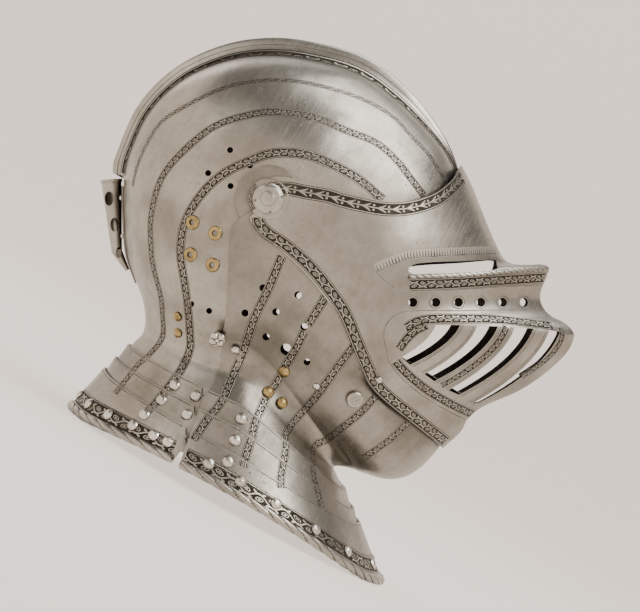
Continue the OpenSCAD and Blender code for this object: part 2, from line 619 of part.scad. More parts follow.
// plan angles at which the rope of the rear plate starts and at which its hidden part ends
rear_rope_a = 109.5;
tongue_a = 109;
front_arc = [for (i = [-13:13]) front_edge_a * i / 13];
rear_arc = concat([rear_edge_a, 103, 108.3], [for (i = [0:16]) lerp(rear_rope_a, 360 - rear_rope_a, i / 16)],
    [251.7, 257, 360 - rear_edge_a]);

// twisted rope round the rim
module rim_rope(front, a0, a1, n) {
    tube([for (i = [0:n]) ring_at(lerp(a0, a1, i / n), 1, front, -lame_t / 2)], rope_r, 8, 24, 0.13);
}

module rear_lame_upper() { color(dark_steel) lame(0, false, 2); }
module rear_lame_lower() { color(steel) lame(1, false, 2); }
module rear_gorget_plate() { color(dark_steel) lame(2, false, 3); }
module front_lame_upper() { color(steel) lame(0, true, 2); }
module front_lame_lower() { color(dark_steel) lame(1, true, 2); }
module front_gorget_plate() { color(steel) lame(2, true, 3); }

/* studs and leathers of the gorget */
// cell of the arc in which a plan angle lies, and how far along it
function cell_of(arc, a) = max([for (i = [0:len(arc) - 2]) if (arc[i] <= a) i]);
// point on plate k of the gorget at plan angle a and share u of the way down it, lifted by d, on the flat
// of its cell
function plate_point(k, a, u, front, d) =
    let (arc = front ? front_arc : rear_arc, i = cell_of(arc, a), w = (a - arc[i]) / (arc[i + 1] - arc[i]))
    let (q = [for (b = [arc[i], arc[i + 1]])
        ring_at(b, lerp(step_at(k, b, front), step_at(k + 1, b, front), u), front, lame_pitch * (1 - u) + d)])
    lerp(q[0], q[1], w);
function stud_spot(e, front) =
    let (k = e[0], a = e[1], u = e[2], h = 0.05)
    let (across = plate_point(k, a + 1, u, front, 0) - plate_point(k, a - 1, u, front, 0))
    let (up = plate_point(k, a, u - h, front, 0) - plate_point(k, a, u + h, front, 0))
    [plate_point(k, a, u, front, 0), unit(cross(across, up))];
function studs_of(list, k) = [for (e = list) if (e[0] == k) e];
// thickness of the leathers, and how deep below the flare of the gorget the straps lie
leather_t = 1.4;
leather_c = 0.5;
strap_d = 3.9;
strap_end = 2.8;
strap_w = 14;
// domed stud on a plate, its shank through a stack of thickness t and spread behind it, or cut flush
module dome_stud(r, t, flush = false, base = 0.4) {
    inner = t + 1.5 * seat_c;
    head = [[0, base + 0.62 * r], [0.42 * r, base + 0.56 * r], [0.78 * r, base + 0.36 * r],
        [r, base + 0.1 * r], [r, base], [shank_r, base]];
    tail = flush ? [[shank_r, -t], [0, -t]]
        : [[shank_r, -inner], [shank_r + 1.1, -inner], [shank_r + 0.7, -inner - 0.8], [0, -inner - 0.9]];
    rotate_extrude($fn = 20) polygon(concat(head, tail));
}
// studs of plate k; those on a strap reach through it, the others through the lining band
module stud_set(list, k, front) {
    color(steel) both_sides() for (e = studs_of(list, k)) {
        lift = lame_pitch * (1 - e[2]);
        deep = e[3] == 1 ? lift + strap_d + leather_t + 4 * seat_c : lame_t + seat_c + leather_t;
        at_spot(stud_spot(e, front)) dome_stud(stud_r, e[3] == 0 ? lame_t : deep);
    }
}
module rear_upper_studs() { stud_set(rear_studs, 0, false); }
module rear_lower_studs() { stud_set(rear_studs, 1, false); }
module rear_border_studs() { stud_set(rear_studs, 2, false); }
module front_upper_studs() { stud_set(front_studs, 0, true); }
module front_lower_studs() { stud_set(front_studs, 1, true); }
module front_border_studs() { stud_set(front_studs, 2, true); }

// strap of leather inside the lames, under the studs of the list marked 1
module strap(list, front) {
    on = [for (e = list) if (e[3] == 1) e];
    path = [for (e = on) let (s = stud_spot(e, front)) s[0] - s[1] * (lame_pitch * (1 - e[2]) + strap_d)];
    n = [for (e = on) stud_spot(e, front)[1]];
    first = path[0] - unit(path[1] - path[0]) * strap_end;
    last = path[2] + unit(path[2] - path[1]) * strap_end;
    ends = concat([first], path, [last]);
    across = unit(cross(n[1], path[2] - path[0])) * strap_w / 2;
    g = [for (i = [0:12]) let (c = spl(ends, i / 12)) [for (j = [-1:1]) c + across * j]];
    v = unit(cross(across, path[2] - path[0]));
    color(leather) both_sides() difference() {
        sheet(g, [for (r = g) [for (c = r) c + v * leather_t]]);
        for (e = on) stud_hole(stud_spot(e, front), leather_c);
    }
}
module rear_straps() { strap(rear_studs, false); }
module front_straps() { strap(front_studs, true); }
// band of leather inside the border, that the lining was sewn to
module lining_band(list, front, arc) {
    function band(d) = [for (u = [0.5, 0.66, 0.82]) [for (a = arc)
        let (s0 = step_at(2, a, front)) ring_at(a, lerp(s0, 1, u), front, lame_pitch * (1 - u) - d)]];
    color(leather) difference() {
        sheet(band(lame_t + seat_c), band(lame_t + seat_c + leather_t));
        both_sides() for (e = list) if (e[3] == 2) stud_hole(stud_spot(e, front), leather_c);
    }
}
module rear_lining_band() { lining_band(rear_studs, false, [for (i = [3:19]) rear_arc[i]]); }
module front_lining_band() { lining_band(front_studs, true, [for (i = [2:24]) front_arc[i]]); }

/* pivots */
// notched pivot head and shank, +Z outward, its origin in the middle plane of the helmet
module pivot_bolt() {
    base = visor_half_w + seat_proud + seat_c;
    back = skull_half_w + seat_proud - seat_t;
    r = pivot_head_r;
    color(steel) {
        difference() {
            translate([0, 0, base]) rotate_extrude($fn = 64) polygon([
                [0, 0], [r, 0], [r, 0.9], [0.93 * r, 1.7], [0.75 * r, 2.6], [0.5 * r, 3.1],
                [0.46 * r, 3.9], [0.3 * r, 4.5], [0, 4.7]]);
            for (i = [0:3])
                rotate([0, 0, 90 * i + 8]) translate([r, 0, base + 2.6]) cube([4.4, 1.6, 4], center = true);
        }
        translate([0, 0, back - 6]) cylinder(r = pivot_r, h = base - back + 7, $fn = 48);
    }
}
module pivot_nut() {
    color(dark_steel) translate([0, 0, skull_half_w + seat_proud - seat_t - seat_c - 4]) difference() {
        cylinder(r = 7, h = 4, $fn = 6);
        translate([0, 0, -1]) cylinder(r = pivot_r + run_c, h = 6, $fn = 48);
    }
}
module right_side() { on_head() rotate([90, 0, 0]) children(); }
module left_side() { mirror([0, 1, 0]) right_side() children(); }
module pivot_bolt_right() { right_side() pivot_bolt(); }
module pivot_bolt_left() { left_side() pivot_bolt(); }
module pivot_nut_right() { right_side() pivot_nut(); }
module pivot_nut_left() { left_side() pivot_nut(); }

/* fittings of the skull, bevor and visor */
// flanged brass eyelet, its neck through the skull and turned over inside
module eyelet() {
    inner = plate_t + 2 * seat_c;
    rotate_extrude($fn = 28) polygon([
        [lace_hole_r, 1.5], [0.62 * eyelet_r, 1.7], [0.88 * eyelet_r, 1.2], [eyelet_r, 1.8 * seat_c],
        [eyelet_neck_r, 1.8 * seat_c],
        [eyelet_neck_r, -inner], [eyelet_neck_r + 1.2, -inner], [eyelet_neck_r + 0.8, -inner - 0.8],
        [lace_hole_r, -inner - 0.8]]);
}
module skull_eyelets() {
    color(brass) on_head() both_sides() for (e = eyelet_spots) at_spot(e) eyelet();
}
module skull_rivets() {
    color(brass) on_head() both_sides() for (e = skull_rivet_spots)
        at_spot(e) dome_stud(skull_rivet_r, plate_t + seat_c, false, raised);
}
module bevor_rivets() {
    color(brass) on_head() both_sides() for (e = bevor_rivet_spots)
        at_spot(e) dome_stud(bevor_rivet_r, plate_t);
}
module bevor_studs() {
    color(steel) on_head() both_sides() at_spot(bevor_stud_spot)
        dome_stud(bevor_stud_r, plate_t, true, raised);
}
module visor_studs() {
    color(steel) on_head() both_sides() at_spot(visor_stud_spot) dome_stud(visor_stud_r, plate_t, true);
}

// turning catch: a pin through the skull with a four-petal head over the edge of the bevor
module turning_catch() {
    petal = rosette_r * 0.46;
    lift = 7 * seat_c;
    inner = catch_d + plate_t + 7 * seat_c;
    color(steel) on_head() at_spot(catch_spot) {
        translate([0, 0, lift]) cylinder(r = rosette_r * 0.86, h = 1.2, $fn = 40);
        intersection() {
            union() {
                for (i = [0:3]) rotate([0, 0, 90 * i + 30]) translate([rosette_r - petal, 0, lift + 0.8])
                    sphere(r = petal, $fn = 20);
                translate([0, 0, lift + 2.4]) sphere(r = 1.7, $fn = 20);
            }
            translate([0, 0, lift + 0.4]) cylinder(r = 2 * rosette_r, h = 6, $fn = 20);
        }
        translate([0, 0, -inner - 1]) cylinder(r = catch_pin_r, h = lift + inner + 1.5, $fn = 32);
        translate([0, 0, -inner - 1.6]) cylinder(r = catch_pin_r + 1.6, h = 1.6, $fn = 32);
    }
}

// hatched spring button through the bevor, with a collar that stops it inside
module spring_button() {
    inner = plate_t + button_gap;
    r = button_r;
    color(steel) on_head() at_spot(button_spot) difference() {
        rotate_extrude($fn = 48) polygon([[0, 3.9], [0.6 * r, 3.8], [0.9 * r, 3.4], [r, 2.8], [r, -inner],
            [r + 1.3, -inner], [r + 1.3, -inner - 1], [0, -inner - 1]]);
        for (i = [-2:2]) for (a = [20, 110]) rotate([0, 0, a]) translate([i * r * 0.36, 0, 3.9])
            cube([0.6, 3 * r, 0.8], center = true);
    }
}
// strip behind a plate from place p to place q of the side view, from depth d0 to depth d1
function strip(g, n, p, q, w, d0, d1, rows) =
    let (v = unit(q - p), side = [-v[1], v[0]] * w / 2)
    [for (i = [0:rows]) [for (j = [-1:1])
        let (c = lerp(p, q, i / rows) + side * j, e = spot(g, n, c[0], c[1]))
        e[0] - e[1] * lerp(d0, d1, i / rows)]];
// leaf spring behind the button, riveted to the bevor at its rear end
module button_spring() {
    near = plate_t + seat_c;
    far = plate_t + button_gap + 1 + 2 * seat_c;
    color(dark_steel) on_head() difference() {
        sheet(strip(bevor_grid, bevor_norm, spring_front, spring_rear, 8, far, near, 8),
            strip(bevor_grid, bevor_norm, spring_front, spring_rear, 8, far + spring_t, near + spring_t, 8));
        stud_hole(spring_rivet_spot);
    }
}
module spring_rivet() {
    color(steel) on_head() at_spot(spring_rivet_spot)
        dome_stud(spring_rivet_r, plate_t + 3 * seat_c + spring_t);
}

// plume tube: a cone open at the top, closed and drawn in to the skull at the foot, with three tall holes
// in its right side
module plume_tube() {
    v = plume_top - plume_foot;
    h = norm(v);
    t = plume_tail - plume_foot;
    color(steel) on_head() difference() {
        union() {
            translate([plume_foot[0], 0, plume_foot[1]]) {
                rotate([0, atan2(v[0], v[1]), 0]) cylinder(r1 = plume_foot_r, r2 = plume_r, h = h, $fn = 64);
                sphere(r = plume_foot_r, $fn = 32);
                rotate([0, atan2(t[0], t[1]), 0])
                    cylinder(r1 = plume_foot_r, r2 = 1.6, h = norm(t), $fn = 32);
            }
            translate([plume_top[0], 0, plume_top[1]]) rotate([0, atan2(v[0], v[1]), 0])
                translate([0, 0, -2.2]) cylinder(r = plume_r + 0.5, h = 2.2, $fn = 64);
        }
        translate([plume_foot[0], 0, plume_foot[1]]) rotate([0, atan2(v[0], v[1]), 0])
            translate([0, 0, 1]) cylinder(r1 = plume_foot_r - 1, r2 = plume_r - 1, h = h, $fn = 64);
        for (e = plume_holes) translate([e[0], 0, e[1]]) rotate([90, 0, 0])
            linear_extrude(height = 2 * plume_r) scale([e[2], e[3]]) circle(r = 1, $fn = 40);
    }
}
// leaf-shaped plate between the tube and the skull: stations of the crest that it covers, and its half widths
plate_stations = [13.35, 17];
plate_widths = [10.5, 12.6, 13, 12.4, 11, 8.6, 5.6, 1.6];
plate_lift = 1.2;
module plume_plate() {
    g = [for (i = [0:14]) [for (j = [4:-1:-4])
        let (w = spl(plate_widths, i / 14) / skull_half_w)
        skull_point(lerp(plate_stations[0], plate_stations[1], i / 14), w * j / 4, 0)]];
    n = grid_normals(g);
    color(dark_steel) on_head() difference() {
        sheet(moved(g, n, seat_c + plate_lift), moved(g, n, seat_c));
        both_sides() for (e = plume_rivet_spots) stud_hole(e);
    }
}
module plume_rivets() {
    color(steel) on_head() both_sides() for (e = plume_rivet_spots)
        at_spot([e[0] + e[1] * (seat_c + plate_lift), e[1]])
            dome_stud(plume_rivet_r, plate_lift + plate_t + 2 * seat_c);
}

skull();
pivot_bolt_right();
pivot_bolt_left();
pivot_nut_right();
pivot_nut_left();
plume_plate();
plume_tube();
plume_rivets();
skull_eyelets();
skull_rivets();
turning_catch();
rear_lame_upper();
rear_upper_studs();
rear_lame_lower();
rear_lower_studs();
rear_gorget_plate();
rear_border_studs();
rear_straps();
rear_lining_band();
bevor();
bevor_rivets();
bevor_studs();
spring_button();
button_spring();
spring_rivet();
front_lame_upper();
front_upper_studs();
front_lame_lower();
front_lower_studs();
front_gorget_plate();
front_border_studs();
front_straps();
front_lining_band();
visor();
visor_studs();
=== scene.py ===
"""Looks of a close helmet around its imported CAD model.

The plates are drawn again from the curves of the part's source, finer and smooth, and stand for the
faceted CAD plates. Etched bands, roping and leathers follow these plates. Sizes of the helmet are in
millimetres here, in the face frame or the standing frame of the source, and become metres when a
mesh is made.
"""

import math

import bmesh
import bpy
import numpy as np
from mathutils import Matrix, Vector
from mathutils.bvhtree import BVHTree


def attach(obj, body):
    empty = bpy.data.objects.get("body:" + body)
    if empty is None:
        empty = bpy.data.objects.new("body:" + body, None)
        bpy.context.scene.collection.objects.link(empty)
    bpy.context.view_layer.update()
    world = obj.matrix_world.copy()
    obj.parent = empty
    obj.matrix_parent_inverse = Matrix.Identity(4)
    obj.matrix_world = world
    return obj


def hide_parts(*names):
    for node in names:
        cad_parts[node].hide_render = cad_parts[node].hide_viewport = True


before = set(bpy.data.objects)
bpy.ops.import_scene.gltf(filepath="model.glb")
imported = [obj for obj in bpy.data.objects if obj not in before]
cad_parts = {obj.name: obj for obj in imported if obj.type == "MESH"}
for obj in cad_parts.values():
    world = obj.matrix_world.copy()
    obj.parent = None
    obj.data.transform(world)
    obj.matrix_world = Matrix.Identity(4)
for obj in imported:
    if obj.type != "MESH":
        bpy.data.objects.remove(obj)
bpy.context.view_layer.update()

MM = 0.001
# the photo's viewpoint, and the roll of its camera, which is the lean of the face against the rim
EYE = np.array([8.1, -2000.0, 158.6])
TILT = math.radians(29.5)
LENS, SENSOR = 150.0, 36.0

# the curves of the part's source
PIVOT_X, PIVOT_Z = -61.5, 207.0
PLATE_T, LAYER = 1.6, 2.8
SKULL_W, NECK_W = 96.0, 73.0
VISOR_W = SKULL_W + 2 * LAYER
COMB_H, COMB_W = 14.5, 3.2
SIGHT_H, BREATH_R, BREATH_COUNT, BAR_W = 8.0, 3.3, 6, 13.0
RIM_W, RIM_L, RIM_ARCH, RIM_FLAT, RIM_FOOT = 115.0, 274.0, 11.0, 46.0, 1.2
LAME_T, LAME_GAP, ROPE_R = 1.4, 0.9, 3.6
LAME_PITCH = LAME_T + LAME_GAP
PIVOT_R, BORE_PLAY = 3.0, 0.3
SEAT_R, LOWER_SEAT_R, SEAT_PROUD, SEAT_BEVEL, SEAT_OVERLAP = 14.4, 13.5, 0.4, 0.25, 0.2
EAR_R, EAR_T, EAR_D = 24.0, 1.0, 1.1
CHEEK_AT, CHEEK_BEND = 0.45, 38.0

# top of the skull below its comb, face frame: x, z, share of the comb's height
CREST = np.array([
    (142.5, -23.9, 0), (143.0, -8.0, 0.02), (141.8, 9.9, 0.08), (133.3, 35.1, 0.28), (115.9, 57.0, 0.62),
    (92.1, 79.5, 0.9), (64.1, 98.4, 1), (26.6, 108.7, 1), (-3.5, 111.3, 0.98), (-34.0, 107.1, 0.9),
    (-65.4, 93.5, 0.8), (-90.7, 69.6, 0.72), (-105.3, 39.5, 0.68), (-109.8, 20.8, 0.66), (-110.1, -1, 0),
    (-109.3, -22, 0), (-107, -40, 0), (-100.5, -59, 0), (-95.2, -75, 0), (-94.2, -88.4, 0)])
COMB_END = 13
CREST_END = len(CREST) - 1
SKULL_SIDE = np.array([
    (0, 0, 1), (-3, -8, 1), (-10, -24, 0.98), (-14, -45, 0.95), (-17, -64, 0.86), (-18, -83, 0.66),
    (-17, -98, 0.36), (-16, -109, 0.1)])
SKULL_SIDE_FROM = 12
FRONT_LINE = np.array([
    (138.0, 39.1), (143.0, 28.6), (149.2, 17.4), (157.1, -2.1), (165.0, -21.6), (170.2, -32.9),
    (174.0, -40.1), (179.2, -44.1), (190.5, -45.6), (204.5, -45.4), (208.5, -48.6), (204.8, -58.8),
    (202.5, -65.1), (202.5, -74.1), (208.5, -82.7), (219.0, -88.4), (226.3, -95.1), (226.9, -101.1),
    (221.7, -111.6), (208.5, -124.4), (190.5, -137.6), (170.2, -146.9), (157.1, -152.9), (150.8, -158.1),
    (147.0, -161.9), (141.8, -171.6), (134.5, -177.9), (128, -184)])
CHEEK_LINE = np.array([
    (82, 28, 0.5, 0.86), (91.8, -32, 0.62, 0.86), (94.2, -55, 0.92, 0.845), (91, -76, 0.88, 0.835),
    (86, -100, 0.9, 0.82), (72.5, -118, 0.85, 0.79), (55, -125, 0.78, 0.76)])
BEVOR_LINE = np.array([
    (157.1, -152.9), (150.8, -158.1), (147.0, -161.9), (141.8, -171.6), (134.5, -178.5), (129, -185.5),
    (120.5, -193.8), (110.5, -202.2), (98, -208.2), (85, -208.9), (70.6, -205), (59, -200.8)])
BEVOR_SIDE = np.array([
    (0, 0, 1, 82, -106, 0.85, 0.79), (0, -1, 1, 71, -115.5, 0.82, 0.775),
    (-24, -15, 0.99, 58, -120, 0.76, 0.77), (-37, -42, 0.98, 42, -118, 0.68, 0.83),
    (-39, -66, 0.88, 30, -118, 0.65, 0.85), (-41, -88, 0.54, 17, -122, 0.6, 0.87),
    (-44, -104, 0.22, 5, -127, 0.52, 0.89)])
LAP_LINE = np.array([
    (-14.6, 0), (-13.9, -11), (-12.3, -16.8), (-6.8, -23), (6.1, -34.3), (26.7, -53.5), (40.3, -70.6),
    (52.9, -85.7), (61.6, -104.1), (71.4, -130.5), (85, -145.5), (99.8, -158.5), (114.5, -170.4),
    (128, -182.3)])
BROW_LINE = np.array([
    (-14.6, 0), (-10.3, 7.8), (-3.2, 13.5), (4.7, 15.6), (14.6, 15.2), (30.3, 11.8), (54.6, 4.5),
    (82.0, -0.9), (101.7, -0.6), (121.5, 6.2), (132.0, 13.8), (138.1, 23.5), (142.5, 29)])
SEAM_LINE = np.array([
    (-20, 4), (-24, -7), (-26.6, -20), (-27.5, -32.8), (-28.3, -50.6), (-29.8, -72.1), (-31.4, -87.8),
    (-34.3, -100.1), (-33.9, -109.5), (-36.2, -122.6), (-40.6, -133.6), (-50, -150)])
BAR_UPPER = np.array([(144.9, -90.6), (173.5, -91.6), (200.9, -93.4)])
BAR_LOWER = np.array([(107.3, -122.5), (125.7, -134.9), (145, -145.6)])
GRILLE_REAR = np.array([(120.4, -90.1), (95.5, -113.4)])
GRILLE_FRONT = np.array([(215.8, -95.8), (155.6, -148.6)])
SIGHT_LINE = np.array([(100.5, -50.4), (119, -48.6), (145, -47.4), (168, -45.6)])
BREATH_FIRST, BREATH_LAST = np.array([103.6, -73.8]), np.array([188.4, -73.6])
SKULL_HOLES = [(-27.7, 35.4), (-43.5, 18.9), (-27.2, 9.4), (-13.3, 24.1), (-56, -74.9), (-43, -79.9)]
SKULL_HOLE_R = 2.2
BEVOR_HOLES = [
    (-3.9, -63.5, 2.6), (21, -68.5, 2.6), (-16.9, -81.4, 2.6), (5.2, -80.6, 2.6), (-2, -98.6, 2.6),
    (25.3, -91.4, 2.6), (27.4, -116.7, 2.4), (12.3, -107.6, 4.1)]
VISOR_HOLE = (75.5, -124.6, 1.6)
# gorget: throat, rim and the places of the plates' edges between them
REAR_X, THROAT_X, THROAT_L = -121.5, -11.0, 86.3
THROAT_Z = {"side": 89.0, "rear": 75.0, "front": 59.3}
FRONT_LAP = 3.8
STEPS = {False: (0.17, 0.35, 0.507, 1), True: (0.21, 0.38, 0.5, 1)}
SIDE_STEPS = (0.27, 0.47, 0.7, 1)
FRONT_EDGE_A, REAR_EDGE_A, REAR_ROPE_A = 107.0, 98.0, 109.5
ENDS = (("rear", False, REAR_ROPE_A, 360 - REAR_ROPE_A), ("front", True, -FRONT_EDGE_A, FRONT_EDGE_A))
GORGET = ("lame_upper", "lame_lower", "gorget_plate")


def unit(v):
    return v / np.maximum(np.linalg.norm(v, axis=-1, keepdims=True), 1e-9)


def lerp(a, b, t):
    return a + (b - a) * t


def spline(rows, t):
    """The smooth curve through a list's rows, at t from 0 to 1."""
    n = len(rows) - 1
    s = np.clip(np.asarray(t, float), 0, 1) * n
    i = np.minimum(s.astype(int), n - 1)
    u = (s - i)[..., None]
    a, b, c, d = rows[np.maximum(i - 1, 0)], rows[i], rows[i + 1], rows[np.minimum(i + 2, n)]
    return (2 * b + (c - a) * u + (2 * a - 5 * b + 4 * c - d) * u**2 + (3 * b - a - 3 * c + d) * u**3) / 2


def standing(p):
    """Face frame to standing frame."""
    p = np.asarray(p, float)
    c, s = math.cos(TILT), math.sin(TILT)
    return np.stack([PIVOT_X + p[..., 0] * c - p[..., 2] * s, p[..., 1],
                     PIVOT_Z + p[..., 0] * s + p[..., 2] * c], -1)


def to_head(p):
    c, s = math.cos(TILT), math.sin(TILT)
    x, z = p[..., 0] - PIVOT_X, p[..., 2] - PIVOT_Z
    return np.stack([x * c + z * s, p[..., 1], z * c - x * s], -1)


def ring_point(a, s, front):
    """Point between the throat (s 0) and the rim (s 1) at plan angle a."""
    a, s = np.broadcast_arrays(np.asarray(a, float), np.asarray(s, float))
    c, sn = np.cos(np.radians(a)), np.sin(np.radians(a))
    lap = FRONT_LAP if front else 0
    half = RIM_W + lap - ROPE_R
    throat_z = lerp(THROAT_Z["side"], np.where(c < 0, THROAT_Z["rear"], THROAT_Z["front"]), np.abs(c))
    throat = np.stack([THROAT_X + THROAT_L * c, (NECK_W + lap) * sn, throat_z], -1)
    y = half * sn
    arch = RIM_ARCH * np.clip((np.abs(y) - RIM_FLAT) / (half - RIM_FLAT), 0, 1) ** 1.4
    rim = np.stack([REAR_X + RIM_L / 2 + (RIM_L / 2 - ROPE_R) * c, y,
                    ROPE_R + 0.4 * LAME_T - RIM_FOOT + arch], -1)
    return lerp(throat, rim, s[..., None])


def ring_at(a, s, front, d):
    """Point of the gorget's flare at plan angle a and share s of the way down, lifted by d."""
    across = ring_point(a + 1, s, front) - ring_point(a - 1, s, front)
    up = ring_point(a, s - 0.02, front) - ring_point(a, s + 0.02, front)
    return ring_point(a, s, front) + unit(np.cross(across, up)) * np.asarray(d, float)[..., None]


def step_at(k, a, front):
    return lerp(STEPS[front][k], SIDE_STEPS[k], np.sin(np.radians(a)) ** 2)


def margin_at(a):
    return (4.5 + 4 * np.cos(np.radians(a)) ** 2) / 95


def plate_point(k, a, u, front, d):
    """Point on plate k of the gorget, u of the way down it, lifted by d."""
    a, u = np.broadcast_arrays(np.asarray(a, float), np.asarray(u, float))
    s = lerp(step_at(k, a, front), step_at(k + 1, a, front), u)
    return ring_at(a, s, front, LAME_PITCH * (1 - u) + d)


def comb_share(x):
    """Share of the comb's height at x half widths of it from the middle."""
    return np.interp(np.abs(x), COMB_STEPS, COMB_SHAPE)


COMB_STEPS = np.array([0, 0.4, 0.75, 1.05, 1.4, 1.9, 2.6, 3.4, 4.2])
COMB_SHAPE = np.array([1, 0.985, 0.93, 0.77, 0.5, 0.27, 0.11, 0.03, 0])


def skull_point(s, eta, lift):
    """Point of the skull: row s of its crest, eta of the half width, lift of the comb's height."""
    s, eta, lift = np.broadcast_arrays(np.asarray(s, float), np.asarray(eta, float), np.asarray(lift, float))
    c = spline(CREST, s / CREST_END)
    e = spline(SKULL_SIDE, (s - SKULL_SIDE_FROM) / (CREST_END - SKULL_SIDE_FROM))
    h = np.where(s > COMB_END, 0, COMB_H * np.maximum(c[..., 2], 0))
    f = (1 - np.abs(eta) ** (1 / 0.48)) ** (1 / 2.1)
    q = lerp(e[..., :2], c[..., :2], f[..., None]) + unit(c[..., :2] - e[..., :2]) * (h * lift)[..., None]
    return np.stack([q[..., 0], lerp(NECK_W, SKULL_W, e[..., 2]) * eta, q[..., 1]], -1)


def flange_point(f, a, front):
    """Point of the flare below the neck under the first plate of the gorget; f above 1 is its margin."""
    s0, s1 = step_at(0, a, front), step_at(1, a, front)
    m = margin_at(a) if f > 1 else 0 * a
    return to_head(ring_at(a, min(f, 1) * s0 + m, front, -LAME_PITCH * m / (s1 - s0)))


def row_point(c, m, e, w, keel, share, eta):
    """Point of a row that runs from c in the middle over the cheek m to e at the side, w wide."""
    n = np.log(1 - share ** (1 / keel)) / math.log(CHEEK_AT)
    tau = (1 - np.abs(eta) ** (1 / keel)) ** (1 / n)
    k = m + unit(m - c) * CHEEK_BEND
    u = (tau / CHEEK_AT)[..., None]
    upper = lerp(m, c, ((tau - CHEEK_AT) / (1 - CHEEK_AT))[..., None])
    lower = e * (1 - u) ** 2 + k * 2 * u * (1 - u) + m * u * u
    q = np.where((tau >= CHEEK_AT)[..., None], upper, lower)
    return np.stack([q[..., 0], w * eta + 0 * tau, q[..., 1]], -1)


def normals_of(g):
    """Unit normals of a grid of points; the end columns, which may meet, take their neighbours'."""
    du = np.concatenate([g[1:], g[-1:]]) - np.concatenate([g[:1], g[:-1]])
    dv = np.zeros_like(g)
    dv[:, 1:-1] = g[:, 2:] - g[:, :-2]
    for d in (du, dv):
        d[:, 0], d[:, -1] = d[:, 1], d[:, -2]
    return unit(np.cross(du, dv))


def smooth_rows(g, parts, creases=()):
    """The grid with more rows, on curves through the given ones that stay sharp at the creases."""
    n = len(g) - 1
    step = np.maximum(np.linalg.norm(np.diff(g, axis=0), axis=-1, keepdims=True), 1e-6)
    slope = np.diff(g, axis=0) / step
    sharp = {0, n, *creases}

    def end_slope(i, j):
        return slope[i] + (slope[i] - slope[j]) * step[i] / (step[i] + step[j])

    def mid_slope(i):
        return (slope[i - 1] * step[i] + slope[i] * step[i - 1]) / (step[i - 1] + step[i])

    rows = []
    for i in range(n):
        alone = i in sharp and i + 1 in sharp
        start = slope[i] if alone else end_slope(i, i + 1) if i in sharp else mid_slope(i)
        stop = slope[i] if alone else end_slope(i, i - 1) if i + 1 in sharp else mid_slope(i + 1)
        for u in np.arange(parts) / parts:
            rows.append((1 + 2 * u) * (1 - u) ** 2 * g[i] + u * (1 - u) ** 2 * step[i] * start
                        + u * u * (3 - 2 * u) * g[i + 1] + u * u * (u - 1) * step[i] * stop)
    return np.array(rows + [g[n]])


def smooth_columns(g, parts, creases=()):
    return smooth_rows(g.swapaxes(0, 1), parts, creases).swapaxes(0, 1)


def travelled(points):
    """Distance along a row of points to each of them."""
    return np.concatenate([[0], np.cumsum(np.linalg.norm(np.diff(points, axis=0), axis=-1))])


def fan(n, top):
    return np.sin(np.radians(top * np.arange(-n, n + 1) / n))


# meshes
SHARP_ANGLE = math.radians(38)


def mesh_of(points, faces, name, metres=False):
    mesh = bpy.data.meshes.new(name)
    scale = 1 if metres else MM
    mesh.from_pydata((np.asarray(points) * scale).tolist(), [], [[int(i) for i in face] for face in faces])
    mesh.update()
    return mesh


def piece(name, mesh):
    obj = bpy.data.objects.new(name, mesh)
    bpy.context.scene.collection.objects.link(obj)
    return obj


def grid_faces(rows, columns, closed=False):
    """Quads of a grid, its columns joined round where it is closed."""
    i, j = np.meshgrid(np.arange(rows - 1), np.arange(columns if closed else columns - 1), indexing="ij")
    j1 = (j + 1) % columns
    return np.stack([i * columns + j, (i + 1) * columns + j, (i + 1) * columns + j1, i * columns + j1],
                    -1).reshape(-1, 4)


def outward(mesh):
    """Turns a closed mesh's faces outward."""
    bm = bmesh.new()
    bm.from_mesh(mesh)
    if bm.calc_volume(signed=True) < 0:
        bmesh.ops.reverse_faces(bm, faces=bm.faces)
    bm.to_mesh(mesh)
    bm.free()
    return mesh


def painted(mesh, mask):
    """Gives the first faces of a mesh the second material where the mask is set."""
    while len(mesh.materials) < 2:
        mesh.materials.append(None)
    index = np.zeros(len(mesh.polygons), np.int32)
    index[:len(mask)] = mask
    mesh.polygons.foreach_set("material_index", index)
    return mesh


def shell(name, outer, inner):
    """Closed plate between two grids in the standing frame; its inner side takes the second material."""
    r, c = outer.shape[:2]
    k = r * c
    index = np.arange(k).reshape(r, c)
    quads = grid_faces(r, c)
    loop = np.concatenate([index[0], index[1:, -1], index[-1, -2::-1], index[-2:0:-1, 0]])
    walls = np.stack([loop, np.roll(loop, -1), np.roll(loop, -1) + k, loop + k], -1)
    faces = np.concatenate([quads, quads[:, ::-1] + k, walls])
    mesh = mesh_of(np.concatenate([outer.reshape(-1, 3), inner.reshape(-1, 3)]), faces, name)
    return outward(painted(mesh, np.arange(2 * len(quads)) >= len(quads)))


def prism(outline):
    """Block through the whole helmet with an outline of the side view."""
    outline = np.asarray(outline, float)
    n = len(outline)
    reach = VISOR_W + 20
    p = np.concatenate([np.insert(outline, 1, y, axis=1) for y in (-reach, reach)])
    faces = [list(range(n)), list(range(2 * n - 1, n - 1, -1))]
    faces += [[i, n + i, n + (i + 1) % n, (i + 1) % n] for i in range(n)]
    return outward(mesh_of(standing(p), faces, "block"))


def disc(x, z, r, n=32):
    t = 2 * math.pi * np.arange(n) / n
    return np.stack([x + r * np.cos(t), z + r * np.sin(t)], -1)


def carve(mesh, blocks, operation="DIFFERENCE"):
    """The mesh with blocks taken out of it."""
    for block in blocks:
        body, tool = piece("carved", mesh), piece("block", block)
        cut = body.modifiers.new("cut", "BOOLEAN")
        cut.operation, cut.object, cut.solver = operation, tool, "MANIFOLD"
        dg = bpy.context.evaluated_depsgraph_get()
        mesh = bpy.data.meshes.new_from_object(body.evaluated_get(dg))
        for o in (body, tool):
            bpy.data.objects.remove(o)
    return mesh


